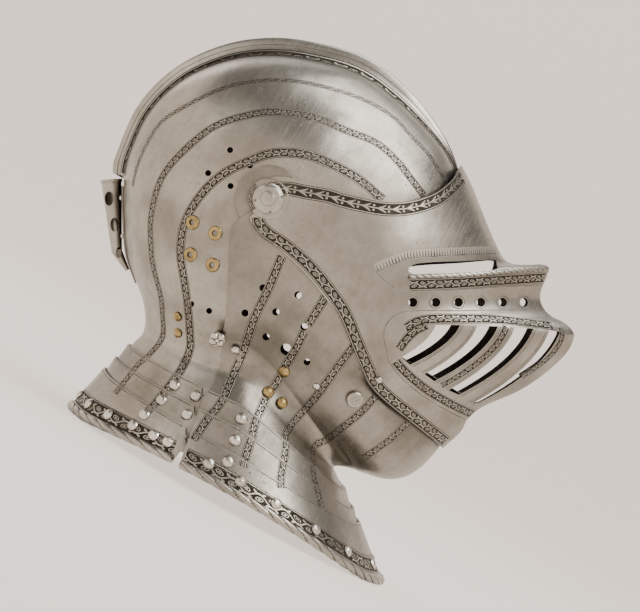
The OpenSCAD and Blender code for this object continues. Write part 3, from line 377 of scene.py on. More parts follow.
def pivot_discs(r, low, high):
    """Flat discs round both pivots, from a half width to another, with a small bevel at the outer edge."""
    rings = [(r, low), (r, high - SEAT_BEVEL), (r - 2 * SEAT_BEVEL, high)]
    n, discs = 72, []
    t = 2 * math.pi * np.arange(n) / n
    for side in (-1, 1):
        points = [np.stack([q * np.cos(t), np.full(n, side * y), q * np.sin(t)], -1) for q, y in rings]
        faces = grid_faces(3, n, closed=True).tolist()
        faces += [list(range(n)), list(range(3 * n - 1, 2 * n - 1, -1))]
        discs.append(outward(mesh_of(standing(np.concatenate(points)), faces, "disc")))
    return discs


PIVOT_BORE = prism(disc(0, 0, PIVOT_R + BORE_PLAY))


def finish_plate(name, mesh, materials, body, slot, *nodes):
    """Smooth-shaded plate that moves with a body and stands for CAD nodes, or adds to them."""
    mesh.name = name
    for i, m in enumerate(materials):
        if i < len(mesh.materials):
            mesh.materials[i] = m
        else:
            mesh.materials.append(m)
    mesh.shade_smooth()
    mesh.set_sharp_from_angle(angle=SHARP_ANGLE)
    obj = piece(name, mesh)
    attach(obj, body)
    if nodes:
        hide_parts(*nodes)


# materials
class Shade:
    """A material in the making: adds shader nodes and joins them."""

    def __init__(self, name, metallic, roughness, colour=(0.5, 0.5, 0.5)):
        self.mat = bpy.data.materials.new(name)
        self.mat.use_nodes = True
        self.tree = self.mat.node_tree
        self.bsdf = self.tree.nodes["Principled BSDF"]
        self.bsdf.inputs["Metallic"].default_value = metallic
        self.bsdf.inputs["Roughness"].default_value = roughness
        self.bsdf.inputs["Base Color"].default_value = (*colour, 1)
        self.place = self.node("TexCoord").outputs["Object"]

    def node(self, kind, **values):
        n = self.tree.nodes.new("ShaderNode" + kind)
        for key, value in values.items():
            setattr(n, key, value)
        return n

    def put(self, socket, value):
        if isinstance(value, bpy.types.NodeSocket):
            self.tree.links.new(value, socket)
        elif isinstance(value, tuple) and len(value) == 3 and socket.type == "RGBA":
            socket.default_value = (*value, 1)
        else:
            socket.default_value = value

    def math(self, operation, *values):
        n = self.node("Math", operation=operation)
        for socket, value in zip(n.inputs, values):
            self.put(socket, value)
        return n.outputs[0]

    def mul(self, a, b):
        return self.math("MULTIPLY", a, b)

    def add(self, a, b):
        return self.math("ADD", a, b)

    def sub(self, a, b):
        return self.math("SUBTRACT", a, b)

    def max(self, a, b):
        return self.math("MAXIMUM", a, b)

    def noise(self, scale, detail=3.0, rough=0.5, stretch=None):
        n = self.node("TexNoise")
        source = self.place
        if stretch:
            m = self.node("Mapping")
            m.inputs["Scale"].default_value = stretch
            m.inputs["Rotation"].default_value = (0.4, 0.9, 0.3)
            self.put(m.inputs[0], source)
            source = m.outputs[0]
        self.put(n.inputs["Vector"], source)
        n.inputs["Scale"].default_value = scale
        n.inputs["Detail"].default_value = detail
        n.inputs["Roughness"].default_value = rough
        return n.outputs["Fac"]

    def step(self, value, low, high, to_low=0.0, to_high=1.0):
        """Smooth step from low to high."""
        n = self.node("MapRange", interpolation_type="SMOOTHSTEP")
        for i, v in enumerate((value, low, high, to_low, to_high)):
            self.put(n.inputs[i], v)
        return n.outputs[0]

    def mix(self, share, a, b):
        n = self.node("Mix", data_type="RGBA")
        self.put(n.inputs[0], share)
        self.put(n.inputs[6], a)
        self.put(n.inputs[7], b)
        return n.outputs[2]

    def bump(self, height, strength, distance):
        n = self.node("Bump")
        n.inputs["Strength"].default_value = strength
        n.inputs["Distance"].default_value = distance
        self.put(n.inputs["Height"], height)
        if self.bsdf.inputs["Normal"].is_linked:
            self.put(n.inputs["Normal"], self.bsdf.inputs["Normal"].links[0].from_socket)
        self.put(self.bsdf.inputs["Normal"], n.outputs[0])

    def colour(self, value):
        self.put(self.bsdf.inputs["Base Color"], value)

    def roughness(self, value):
        self.put(self.bsdf.inputs["Roughness"], value)


def steel(name, light=(0.4, 0.372, 0.32), dark=(0.24, 0.22, 0.182), rough=(0.27, 0.4), pits=1.0, hammer=0.5):
    """Old polished plate: hammer marks, cloudy tarnish, pits, fine scratches, grime and painted shade in the
    corners.
    """
    m = Shade(name, 1.0, rough[0])
    cloud = m.step(m.noise(16, 4, 0.6), 0.35, 0.7)
    fine = m.noise(260, 4, 0.6)
    scratch = m.noise(60, 3, 0.7, stretch=(14, 1.0, 0.4))
    pit = m.mul(m.step(m.noise(620, 2, 0.5), 0.66, 0.74),
                 m.step(m.noise(34, 3, 0.5), 0.46, 0.66))
    grime_and_shade_ao = m.node("AmbientOcclusion", samples=6)
    grime_and_shade_ao.inputs["Distance"].default_value = 0.006
    crevice_grime_and_shade = m.step(grime_and_shade_ao.outputs["AO"], 0.35, 0.9, 1.0, 0.0)
    base = m.mix(cloud, light, dark)
    base = m.mix(m.step(fine, 0.45, 0.8, 0, 0.35), base, tuple(0.75 * v for v in dark))
    base = m.mix(m.mul(pit, 0.8 * pits), base, (0.07, 0.06, 0.05))
    # painted shade: corners that the ambient occlusion finds are darkened in the base colour, as grime and as
    # shade
    base = m.mix(m.mul(crevice_grime_and_shade, 0.75), base, (0.06, 0.052, 0.043))
    m.colour(base)
    spread = m.math("MULTIPLY_ADD", m.step(scratch, 0.4, 0.75), 0.1, rough[0])
    spread = m.math("MULTIPLY_ADD", cloud, rough[1] - rough[0], spread)
    m.roughness(m.math("MULTIPLY_ADD", pit, 0.3, spread))
    m.bump(m.noise(42, 2, 0.4), 0.12 * hammer, 0.01)
    m.bump(scratch, 0.06, 0.0006)
    m.bump(m.mul(pit, -1.0), 0.35 * pits, 0.0005)
    return m.mat


def inside_steel(name):
    """The unpolished inner side of the plates, brown with age."""
    m = Shade(name, 0.75, 0.62)
    patch = m.step(m.noise(30, 5, 0.65), 0.35, 0.7)
    m.colour(m.mix(patch, (0.045, 0.036, 0.029), (0.12, 0.1, 0.085)))
    m.roughness(m.step(m.noise(180, 3), 0.3, 0.7, 0.5, 0.75))
    m.bump(m.noise(240, 4, 0.6), 0.4, 0.0008)
    return m.mat


def grime_and_shade_in_grooves(name):
    """Old grease and rust, and painted shade, in the hollows of the roping."""
    m = Shade(name, 0.3, 0.7)
    # painted shade: the roping's grooves are coloured near black, as grime and as the shade in them
    m.colour(m.mix(m.noise(300, 3), (0.03, 0.026, 0.02), (0.09, 0.078, 0.06)))
    return m.mat


def etched(name, pattern, pitch, lines=0.86, ground=(0.026, 0.022, 0.017)):
    """Etched band: bright ornament on a dark, dotted ground between edge lines. Its UV runs along the band in
    band widths, and across it from 0 to 1."""
    m = Shade(name, 1.0, 0.4)
    uv = m.node("SeparateXYZ")
    m.put(uv.inputs[0], m.node("UVMap", uv_map="band").outputs[0])
    u = m.math("DIVIDE", uv.outputs[0], pitch)
    v = m.math("MULTIPLY_ADD", uv.outputs[1], 2.0, -1.0)
    side = m.math("ABSOLUTE", v)

    def near(value, at, half, soft=0.35):
        """1 where value lies within half of at."""
        gap = m.math("ABSOLUTE", m.sub(value, at))
        return m.step(gap, half * (1 - soft), half * (1 + soft), 1.0, 0.0)

    def blob(along, across, long, wide, tilt=0.0):
        """Leaf about a place of the repeat; along and across are sockets counted from its middle."""
        c, s = math.cos(tilt), math.sin(tilt)
        a = m.add(m.mul(along, c / long), m.mul(across, s / long))
        b = m.sub(m.mul(across, c / wide), m.mul(along, s / wide))
        return m.math("SQRT", m.add(m.mul(a, a), m.mul(b, b)))

    inner = m.math("DIVIDE", v, 0.72)
    if pattern == "vine":
        turn = m.mul(u, 2 * math.pi)
        wave = m.mul(m.math("SINE", turn), 0.5)
        stem = near(inner, wave, 0.13)
        half = m.math("FRACT", m.mul(u, 2.0))
        flip = m.math("MULTIPLY_ADD", m.math("GREATER_THAN", m.math("FRACT", u), 0.5), 2.0, -1.0)
        across = m.mul(inner, flip)
        leaf_at = m.sub(half, 0.5)
        d = blob(leaf_at, m.sub(across, 0.3), 0.3, 0.44, 0.5)
        leaf = m.sub(m.step(d, 0.8, 1.0, 1.0, 0.0), near(d, 0.5, 0.16))
        d2 = blob(m.sub(half, 0.12), m.add(across, 0.62), 0.13, 0.26, -0.7)
        d3 = blob(m.sub(half, 0.82), m.add(across, 0.66), 0.12, 0.24, 0.6)
        ornament = m.max(stem, leaf)
        for d in (d2, d3):
            ornament = m.max(ornament, m.step(d, 0.75, 1.0, 1.0, 0.0))
    elif pattern == "arrows":
        f = m.math("FRACT", u)
        wide = m.mul(f, 1.25)
        reach = m.math("ABSOLUTE", inner)
        head = m.mul(m.step(m.sub(wide, reach), -0.04, 0.06),
                      m.step(f, 0.6, 0.7, 1.0, 0.0))
        notch = m.step(m.sub(m.mul(m.sub(f, 0.36), 2.4), reach),
                       -0.04, 0.08)
        head = m.sub(head, notch)
        stem = near(inner, 0.0, 0.1)
        bead = blob(m.sub(f, 0.84), m.sub(reach, 0.45), 0.09, 0.26)
        bead = m.step(bead, 0.7, 1.0, 1.0, 0.0)
        ornament = m.max(m.max(head, stem), bead)
    else:
        wave = m.math("SINE", m.mul(u, 2 * math.pi))
        slant = m.math("FRACT", m.add(m.mul(u, 3.0), m.mul(inner, 0.8)))
        ornament = m.max(near(inner, m.mul(wave, 0.6), 0.2), near(slant, 0.5, 0.13))
    field = m.step(side, lines - 0.16, lines - 0.12, 1.0, 0.0)
    ornament = m.mul(ornament, field)
    border = near(side, lines - 0.04, 0.05)
    bright = m.max(ornament, border)
    outer = m.step(side, lines + 0.06, lines + 0.1)
    cut = m.mul(near(side, 0.965, 0.03), 0.85)
    bright = m.max(bright, m.sub(outer, cut))
    dots = m.step(m.noise(2600, 1, 0.5), 0.5, 0.7)
    wear = m.step(m.noise(70, 4, 0.6), 0.42, 0.75)
    low = m.mix(m.mul(dots, 0.55), ground, tuple(4.5 * v for v in ground))
    low = m.mix(m.mul(wear, 0.3), low, (0.16, 0.148, 0.122))
    high = m.mix(wear, (0.37, 0.347, 0.3), (0.24, 0.223, 0.187))
    m.colour(m.mix(bright, low, high))
    m.roughness(m.step(bright, 0, 1, 0.58, 0.32))
    m.bump(bright, 0.35, 0.00025)
    return m.mat


def line_work(name, ticks=0.0):
    """Engraved line, or with ticks, a row of short tapering strokes across it."""
    m = Shade(name, 1.0, 0.45)
    uv = m.node("SeparateXYZ")
    m.put(uv.inputs[0], m.node("UVMap", uv_map="band").outputs[0])
    v = uv.outputs[1]
    if ticks:
        f = m.math("FRACT", m.mul(uv.outputs[0], ticks))
        f = m.math("ABSOLUTE", m.sub(f, 0.5))
        half = m.math("MULTIPLY_ADD", v, -0.2, 0.26)
        mark = m.step(m.sub(half, f), -0.05, 0.08)
        mark = m.mul(mark, m.step(v, 0.82, 0.98, 1.0, 0.0))
    else:
        mark = m.step(m.math("ABSOLUTE", m.sub(v, 0.5)), 0.2, 0.4, 1.0, 0.0)
    worn = m.step(m.noise(90, 3, 0.6), 0.3, 0.75, 1.0, 0.55)
    mark = m.mul(mark, worn)
    m.colour(m.mix(mark, (0.36, 0.338, 0.295), (0.02, 0.017, 0.013)))
    m.bump(m.mul(mark, -1.0), 0.4, 0.0003)
    return m.mat


def brass(name):
    """Rubbed brass, brown with grime and painted shade in its hollows."""
    m = Shade(name, 1.0, 0.34)
    patch = m.step(m.noise(210, 4, 0.6), 0.35, 0.7)
    grime_and_shade_ao = m.node("AmbientOcclusion", samples=6)
    grime_and_shade_ao.inputs["Distance"].default_value = 0.003
    base = m.mix(patch, (0.42, 0.31, 0.135), (0.25, 0.172, 0.07))
    # painted shade: the hollows that the ambient occlusion finds turn dark brown in the base colour
    m.colour(m.mix(m.step(grime_and_shade_ao.outputs["AO"], 0.4, 0.95, 0.8, 0.0), base, (0.07, 0.045, 0.02)))
    m.roughness(m.step(patch, 0, 1, 0.28, 0.46))
    m.bump(m.noise(520, 3, 0.6), 0.15, 0.0004)
    return m.mat


def leather(name, colour):
    """Dry vegetable-tanned leather, darker at its handled places."""
    m = Shade(name, 0.0, 0.7, colour)
    patch = m.step(m.noise(55, 5, 0.65), 0.3, 0.7)
    cells = m.node("TexVoronoi", feature="DISTANCE_TO_EDGE")
    cells.inputs["Scale"].default_value = 900
    m.put(cells.inputs["Vector"], m.place)
    grain = m.step(cells.outputs[0], 0.0, 0.25)
    m.colour(m.mix(patch, colour, tuple(0.55 * v for v in colour)))
    m.roughness(m.step(patch, 0, 1, 0.62, 0.82))
    m.bump(grain, 0.3, 0.0004)
    m.bump(m.noise(140, 3), 0.25, 0.001)
    return m.mat


SKULL_STEEL = steel("skull_steel")
# painted shade: copies of the skull's steel, the visor, the gorget's lames and, darkest, the bevor take
# darker base colours
VISOR_STEEL_SHADED = steel("visor_steel_painted_shade", light=(0.36, 0.333, 0.286), dark=(0.21, 0.192, 0.158))
BEVOR_STEEL_SHADED = steel("bevor_steel_painted_shade", light=(0.29, 0.268, 0.228), dark=(0.17, 0.155, 0.127))
LAME_STEEL_SHADED = steel("lame_steel_painted_shade", light=(0.33, 0.307, 0.264), dark=(0.19, 0.175, 0.144), pits=1.3)
ROPE_STEEL = steel("rope_steel", light=(0.42, 0.395, 0.345), dark=(0.25, 0.232, 0.195), rough=(0.26, 0.38),
                   hammer=0)
# painted highlight: studs and rivets take a much paler base colour than the plates, for the glints on their
# domes
STUD_STEEL_LIT = steel("stud_steel_painted_highlight", light=(0.7, 0.665, 0.6), dark=(0.45, 0.42, 0.365), rough=(0.18, 0.3),
                   hammer=0)
FITTING_STEEL = steel("fitting_steel", light=(0.42, 0.395, 0.345), dark=(0.26, 0.24, 0.2),
                      rough=(0.28, 0.4), hammer=0)
SPRING_STEEL = steel("spring_steel_blued", light=(0.3, 0.29, 0.28), dark=(0.16, 0.15, 0.14), hammer=0)
INSIDE = inside_steel("inside_steel")
GROOVE_GRIME_AND_SHADE = grime_and_shade_in_grooves("groove_grime_and_shade")
BRASS = brass("old_brass")
LEATHER = leather("lining_leather_brown", (0.16, 0.085, 0.042))
THREAD = leather("waxed_thread", (0.5, 0.42, 0.3))
VINE = etched("etched_vine", "vine", 1.5)
VINE_WIDE = etched("etched_vine_wide", "vine", 1.7, lines=0.9, ground=(0.018, 0.015, 0.011))
ARROWS = etched("etched_arrows", "arrows", 1.15)
TWIST = etched("etched_twist", "twist", 1.7)
LINE = line_work("engraved_line")
FRINGE = line_work("engraved_fringe", ticks=2.1)

# plates
COMB_DROP = 1.1  # room under the comb's crest that its roping fills
COMB_LEFT = 1 - COMB_DROP / COMB_H


def skull_plate():
    stations = np.concatenate([COMB_END * np.arange(22) / 21,
                               lerp(COMB_END + 0.1, CREST_END, np.arange(11) / 10)])
    angles = np.array([15, 24, 34, 45, 55, 65, 74, 82, 88.0])
    side = np.sin(np.radians(angles))
    comb = COMB_STEPS[1:] * COMB_W / SKULL_W
    eta = np.concatenate([side[::-1], comb[::-1], [0], -comb, -side])
    lift = comb_share(eta * SKULL_W / COMB_W) * COMB_LEFT
    rows = [skull_point(s, eta, lift) for s in stations]
    plan = 180 - (180 - REAR_EDGE_A) * np.degrees(np.arcsin(eta)) / angles[-1]
    rows += [flange_point(f, plan, False) for f in (0.08, 0.45, 1, 2)]
    coarse = np.array(rows)
    middle = len(eta) // 2
    outer = smooth_columns(smooth_rows(coarse, 5, creases=(21, 22, len(rows) - 2)), 3, creases=(middle,))
    inner = outer - normals_of(outer) * PLATE_T
    mesh = shell("skull", standing(outer), standing(inner))
    return carve(mesh, [prism(disc(x, z, SKULL_HOLE_R)) for x, z in SKULL_HOLES] + [PIVOT_BORE])


def curve_points(line, n):
    return spline(line, np.arange(n + 1) / n)


def bar_curve(top, foot, n=14):
    knee = np.array([lerp(top[0], foot[0], 0.17), lerp(top[1], foot[1], 0.51)])
    u = (np.arange(n + 1) / n)[:, None]
    return top * (1 - u) ** 2 + knee * 2 * u * (1 - u) + foot * u * u


def bar_edge(i, side):
    return (BAR_UPPER[i] + side * np.array([BAR_W / 2, -0.3]),
            BAR_LOWER[i] + side * np.array([0.84, -0.54]) * BAR_W / 2)


def turned(row, degrees):
    """A row of the visor turned about the pivots."""
    c, s = math.cos(math.radians(degrees)), math.sin(math.radians(degrees))
    return np.stack([row[:, 0] * c - row[:, 2] * s, row[:, 1], row[:, 0] * s + row[:, 2] * c], -1)


def visor_surface():
    """The visor's outer side; its first and last rows are turned on, which carries it round the pivots."""
    t, near = np.arange(37) / 36, np.sin(np.radians([88.4, 89.4, 89.9]))
    eta = np.concatenate([-near[::-1], fan(11, 87), near])
    c, s = spline(FRONT_LINE, t)[:, None], spline(CHEEK_LINE, t)[:, None]
    face = row_point(c, s[..., :2], np.zeros(2), VISOR_W, s[..., 2], s[..., 3], eta[None])
    above = [turned(face[0], a) for a in (60, 40, 20)]
    below = [turned(face[-1], -a) for a in (20, 40, 60)]
    coarse = np.concatenate([above, face, below])
    return smooth_columns(smooth_rows(coarse, 4, creases=(3, 39)), 3, creases=(14,))


def visor_plate():
    outer = visor_surface()
    mesh = shell("visor", standing(outer), standing(outer - normals_of(outer) * PLATE_T))
    brow = np.concatenate([curve_points(BROW_LINE, 60), [(175, 60), (175, 160), (-60, 160), (-60, 0)]])
    lap = np.concatenate([curve_points(LAP_LINE, 60), [(150, -204), (150, -260), (-120, -260), (-120, 0)]])
    middle = curve_points(SIGHT_LINE, 12)
    half = np.full(13, SIGHT_H / 2) * np.array([0.35, 0.85] + [1] * 10 + [0.8])
    up = np.stack([0 * half, half], -1)
    blocks = [prism(brow), prism(lap), prism(np.concatenate([middle + up, (middle - up)[::-1]]))]
    edges = [GRILLE_REAR] + [bar_edge(i, side) for i in range(3) for side in (-1, 1)] + [GRILLE_FRONT]
    for left, right in zip(edges[::2], edges[1::2]):
        blocks.append(prism(np.concatenate([bar_curve(*left), bar_curve(*right)[::-1]])))
    for t in np.arange(BREATH_COUNT) / (BREATH_COUNT - 1):
        blocks.append(prism(disc(*lerp(BREATH_FIRST, BREATH_LAST, t), BREATH_R)))
    blocks.append(prism(disc(*VISOR_HOLE)))
    seats = pivot_discs(SEAT_R, VISOR_W - PLATE_T + SEAT_OVERLAP, VISOR_W + SEAT_PROUD)
    return carve(carve(carve(mesh, blocks), seats, "UNION"), [PIVOT_BORE])


def bevor_plate():
    t, eta = np.arange(18) / 17, fan(11, 89)
    c, s = spline(BEVOR_LINE, t)[:, None], spline(BEVOR_SIDE, t)[:, None]
    w = lerp(NECK_W + FRONT_LAP + LAYER, VISOR_W, s[..., 2])
    face = row_point(c, s[..., 3:5], s[..., :2], w, s[..., 5], s[..., 6], eta[None])
    tuck = np.clip((10 - np.arange(18)) / 3, 0, 1)[:, None] * np.clip((0.7 - np.abs(eta)) / 0.15, 0, 1)[None]
    face = face - normals_of(face) * (LAYER + 2 * tuck)[..., None]
    plan = (FRONT_EDGE_A + 5) * np.degrees(np.arcsin(eta)) / 89
    coarse = np.concatenate([face, [flange_point(f, plan, True) for f in (0.08, 0.45, 1, 2)]])
    outer = smooth_columns(smooth_rows(coarse, 5, creases=(len(coarse) - 2,)), 3, creases=(11,))
    mesh = shell("bevor", standing(outer), standing(outer - normals_of(outer) * PLATE_T))
    outline = np.concatenate([curve_points(SEAM_LINE, 60), [(-60, -300), (260, -300), (260, 30), (-4, 30)]])
    mesh = carve(mesh, [prism(outline)], "INTERSECT")
    half_w = VISOR_W - LAYER
    discs = pivot_discs(LOWER_SEAT_R, half_w - PLATE_T + SEAT_OVERLAP, half_w + SEAT_PROUD)
    discs += pivot_discs(EAR_R, half_w - EAR_D - EAR_T, half_w - EAR_D)
    return carve(carve(mesh, discs, "UNION"), [prism(disc(*h)) for h in BEVOR_HOLES] + [PIVOT_BORE])


def lame_plate(k, front):
    """Plate k of the gorget, from its upper edge to its hidden lower margin."""
    if front:
        arc = FRONT_EDGE_A * np.arange(-52, 53) / 52
    else:
        arc = np.concatenate([[REAR_EDGE_A, 103, 108.3], np.linspace(REAR_ROPE_A, 360 - REAR_ROPE_A, 97),
                              [251.7, 257, 360 - REAR_EDGE_A]])
    s0, s1 = step_at(k, arc, front), step_at(k + 1, arc, front)
    hidden = (not front) & (np.abs(180 - arc) > 180 - 109)
    start = s0 + np.where(hidden, 1.5 * margin_at(arc), 0)
    stop = np.where(hidden, 0.9, s1) if k == 2 else s1 + margin_at(arc)
    rows = 16 if k == 2 else 10
    s = lerp(start, stop, (np.arange(rows + 1) / rows)[:, None])
    lift = LAME_PITCH * (1 - (s - s0) / (s1 - s0))
    return shell("lame", ring_at(arc, s, front, lift), ring_at(arc, s, front, lift - LAME_T))


def rope(path, normal, r, strands, lay, depth, around=24, floor=None, grime_and_shade_share=0.22):
    """Twisted roping along a path: strands that turn once in a length lay, with grime and painted shade
    between them.
    """
    tangent = unit(np.gradient(path, axis=0))
    e = unit(normal - tangent * (normal * tangent).sum(-1, keepdims=True))
    f = np.cross(tangent, e)
    along = travelled(path)
    t = 2 * math.pi * np.arange(around) / around
    phase = strands / 2 * (t[None] - 2 * math.pi * along[:, None] / lay)
    radius = r * (1 - depth + depth * np.abs(np.sin(phase)) ** 0.55)
    taper = np.clip(np.minimum(along, along[-1] - along) / (0.6 * r) + 0.55, 0, 1)[:, None]
    turn = e[:, None] * np.cos(t)[None, :, None] + f[:, None] * np.sin(t)[None, :, None]
    points = path[:, None] + turn * (radius * taper)[..., None]
    if floor is not None:
        points[..., 2] = np.maximum(points[..., 2], floor)
    n = len(path)
    faces = grid_faces(n, around, closed=True).tolist()
    faces += [list(range(around)), [(n - 1) * around + i for i in range(around - 1, -1, -1)]]
    mesh = mesh_of(points.reshape(-1, 3), faces, "rope")
    # painted shade: the hollows between the strands take the dark grime and shade material
    hollow = np.abs(np.sin(phase + math.pi * strands / 2 / around)) < grime_and_shade_share
    return outward(painted(mesh, hollow[:-1].ravel()))


PLATES = {}


def keep(name, mesh):
    """Remembers a plate's surface, for what is laid on it."""
    points = [v.co.copy() for v in mesh.vertices]
    PLATES[name] = BVHTree.FromPolygons(points, [list(p.vertices) for p in mesh.polygons])


SLOT_OF = {"skull": "steel_skull", "visor": "steel_visor", "bevor": "steel_bevor"}
BODY_OF = {"skull": "head", "visor": "visor", "bevor": "bevor"}
for plate, (make, material) in {
        "skull": (skull_plate, SKULL_STEEL), "visor": (visor_plate, VISOR_STEEL_SHADED),
        "bevor": (bevor_plate, BEVOR_STEEL_SHADED)}.items():
    mesh = make()
    finish_plate(plate + "_shell", mesh, [material, INSIDE], BODY_OF[plate], SLOT_OF[plate], plate)
    keep(plate, mesh)
for end, front, _, _ in ENDS:
    for k, part in enumerate(GORGET):
        node, body = f"{end}_{part}", f"{end}_{('upper', 'lower', 'plate')[k]}"
        SLOT_OF[node], BODY_OF[node] = f"steel_{end}_lames", body
        mesh = lame_plate(k, front)
        finish_plate(node + "_shell", mesh, [LAME_STEEL_SHADED, INSIDE], body, SLOT_OF[node], node)
        keep(node, mesh)

# lines and bands laid on the plates
LIFT = 0.07  # how far an etched band stands off its plate
RING_GAP = 1.3  # from a breath hole to its engraved ring
# rays, in metres: where the sight lines start and how far they go, and how far a ray from the side goes
SIGHT_FROM, SIGHT_REACH, SIDE_REACH = 1.7, 0.42, 0.11


def seen_at(tree, x, z):
    """Point and normal, in mm, where the photo's sight line through a side-view place meets a plate."""
    to = unit(standing(np.array([x, 0, z], float)) - EYE)
    start = Vector(EYE * MM) + Vector(to) * SIGHT_FROM
    hit, normal, _, _ = tree.ray_cast(start, Vector(to), SIGHT_REACH)
    if hit is None:
        return None
    normal = np.array(normal)
    return np.array(hit) / MM, normal if normal @ to < 0 else -normal


def onto(tree, p, n, reach):
    """A point brought onto a plate along a direction, or None beside it."""
    hit, normal, _, _ = tree.ray_cast(Vector((p + n * reach) * MM), Vector(-n), 2 * reach * MM)
    return None if hit is None else np.array(hit) / MM


def even_line(line, step):
    """Points every step mm along the smooth curve through places of the side view."""
    fine = spline(np.asarray(line, float), np.linspace(0, 1, 400))
    along = travelled(fine)
    at = np.linspace(0, along[-1], max(int(along[-1] / step), 3) + 1)
    return np.stack([np.interp(at, along, fine[:, i]) for i in (0, 1)], -1)


def runs_on(tree, line, step):
    """Stretches of a line that lie on a plate, as points and normals."""
    runs, now = [], []
    for x, z in even_line(line, step):
        found = seen_at(tree, x, z)
        if found is None or (now and np.linalg.norm(found[0] - now[-1][0]) > 6 * step):
            runs.append(now)
            now = []
        if found is not None:
            now.append(found)
    return [r for r in runs + [now] if len(r) > 3]


def draped(tree, grid, normals, along, reach):
    """Strip through a grid of places, each brought onto a plate along a normal."""
    columns = grid.shape[1]
    points, uv = [], []
    for row, row_normals, u in zip(grid, normals, along):
        for j, (q, n) in enumerate(zip(row, row_normals)):
            on = onto(tree, q, n, reach)
            points.append((q if on is None else on) + n * LIFT)
            uv.append((u, j / (columns - 1)))
    return np.array(points), grid_faces(len(grid), columns), uv


def ribbon(tree, run, width, columns):
    """Strip of a width along a run of points, draped on the plate; its UV runs along and across it."""
    c = np.array([p for p, _ in run])
    n = unit(np.array([q for _, q in run]))
    for _ in range(2):
        n[1:-1] = unit(n[:-2] + n[1:-1] + n[2:])
    across = unit(np.cross(n, unit(np.gradient(c, axis=0))))
    offsets = (np.arange(columns + 1) / columns - 0.5) * width
    grid = c[:, None] + across[:, None] * offsets[None, :, None]
    return draped(tree, grid, np.broadcast_to(n[:, None], grid.shape), travelled(c) / width, 2.5)


def laid(name, parts, material, plate, mirror=True):
    """One piece of strips on a plate, and of their mirror images on the wearer's left."""
    points, faces, uv = [], [], []
    for p, f, t in parts:
        for side in (1, -1) if mirror else (1,):
            base = len(points)
            points += (p * np.array([1, side, 1])).tolist()
            faces += ((f if side > 0 else f[:, ::-1]) + base).tolist()
            uv += t
    mesh = mesh_of(points, faces, name)
    layer = mesh.uv_layers.new(name="band")
    corners = [uv[i] for poly in mesh.polygons for i in poly.vertices]
    layer.data.foreach_set("uv", np.array(corners, float).ravel())
    mesh.materials.append(material)
    mesh.shade_smooth()
    obj = piece(name, mesh)
    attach(obj, BODY_OF[plate])


def band(name, line, width, material, plates, columns=6, step=1.4):
    """Etched band along a line of the side view, on each of the plates that it crosses."""
    for plate in plates:
        tree = PLATES[plate]
        parts = [ribbon(tree, run, width, columns) for run in runs_on(tree, line, step)]
        if parts:
            laid(f"{name}_on_{plate}", parts, material, plate)


REAR = ["skull"] + ["rear_" + part for part in GORGET]
FRONT = ["bevor"] + ["front_" + part for part in GORGET]
# middle lines of the etched bands of the skull, as the photo's viewpoint sees them, face frame
SKULL_BANDS = [
    ([(-104, 13.5), (-99, 32.5), (-85.5, 58), (-68, 71.5), (-36, 87), (-9, 92.5), (17, 92.5), (44, 87),
      (70.5, 78), (91, 66), (104, 52.5), (120, 35), (130.5, 17.5)], 4.6, TWIST),
    ([(-117, -142), (-109, -132), (-100, -120.5), (-91.5, -113), (-81.5, -99.5), (-81.5, -82.5), (-83, -68),
      (-88, -48.5), (-90, -34.5), (-90, -9), (-83, 17.5), (-68, 37.5), (-43, 58), (-16, 67), (4, 69),
      (31, 65.5), (57, 55), (79, 46), (94.5, 32.5), (105, 19), (115, 6)], 6.6, VINE),
    ([(-93, -156), (-85, -147), (-77, -137), (-68, -125), (-61, -109), (-61, -94.5), (-62.5, -76.5),
      (-65, -58.5), (-68, -36), (-64.5, -13.5), (-52.5, 7), (-36, 22.5), (-16, 32.5), (4, 38.5), (30, 36),
      (57, 24), (70.5, 15), (84, 3)], 7.5, VINE)]
for i, (line, width, material) in enumerate(SKULL_BANDS):
    band(f"skull_band_{i + 2}", line, width, material, REAR)


def crest_band(inner=5.5, outer=18.0, columns=8):
    """Band along the foot of the comb, between two distances from the middle of the skull."""
    s = np.linspace(1.5, COMB_END - 0.1, 260)
    y = np.linspace(inner, outer, columns + 1)
    lift = comb_share(y / COMB_W) * COMB_LEFT
    g = standing(skull_point(s[:, None], y[None] / SKULL_W, lift[None]))
    n = normals_of(g)
    n = np.where(((g - standing(np.zeros(3))) * n).sum(-1, keepdims=True) < 0, -n, n)
    return draped(PLATES["skull"], g, n, travelled(g[:, columns // 2]) / (outer - inner), 1.5)


laid("skull_band_1", [crest_band()], VINE_WIDE, "skull")

BEVOR_BANDS = [
    [(8, -39), (-1, -61.5), (-9, -78), (-13.5, -88.5), (-19, -105.5), (-24, -118.5), (-31.5, -135),
     (-35, -144), (-40.5, -153), (-46, -159), (-53.5, -170), (-58, -177)],
    [(44, -64.5), (33, -82.5), (26, -93.5), (19, -108), (12, -119.5), (4.5, -133.5), (-3, -144), (-7.5, -154),
     (-11, -161), (-14, -172.5), (-18.5, -188), (-21, -197)],
    [(64, -104), (50, -122), (34, -144), (16.5, -164), (11, -174), (11, -184), (7.5, -204), (7.5, -213)],
    [(79.5, -143), (67.5, -156), (51, -169.5), (41, -177), (32, -183), (32, -201.5), (36, -219), (39, -230)],
    [(104, -162.5), (91, -175), (79.5, -183.5), (70, -190)]]
for i, line in enumerate(BEVOR_BANDS):
    band(f"bevor_band_{i + 1}", line, 7.0, VINE, FRONT)

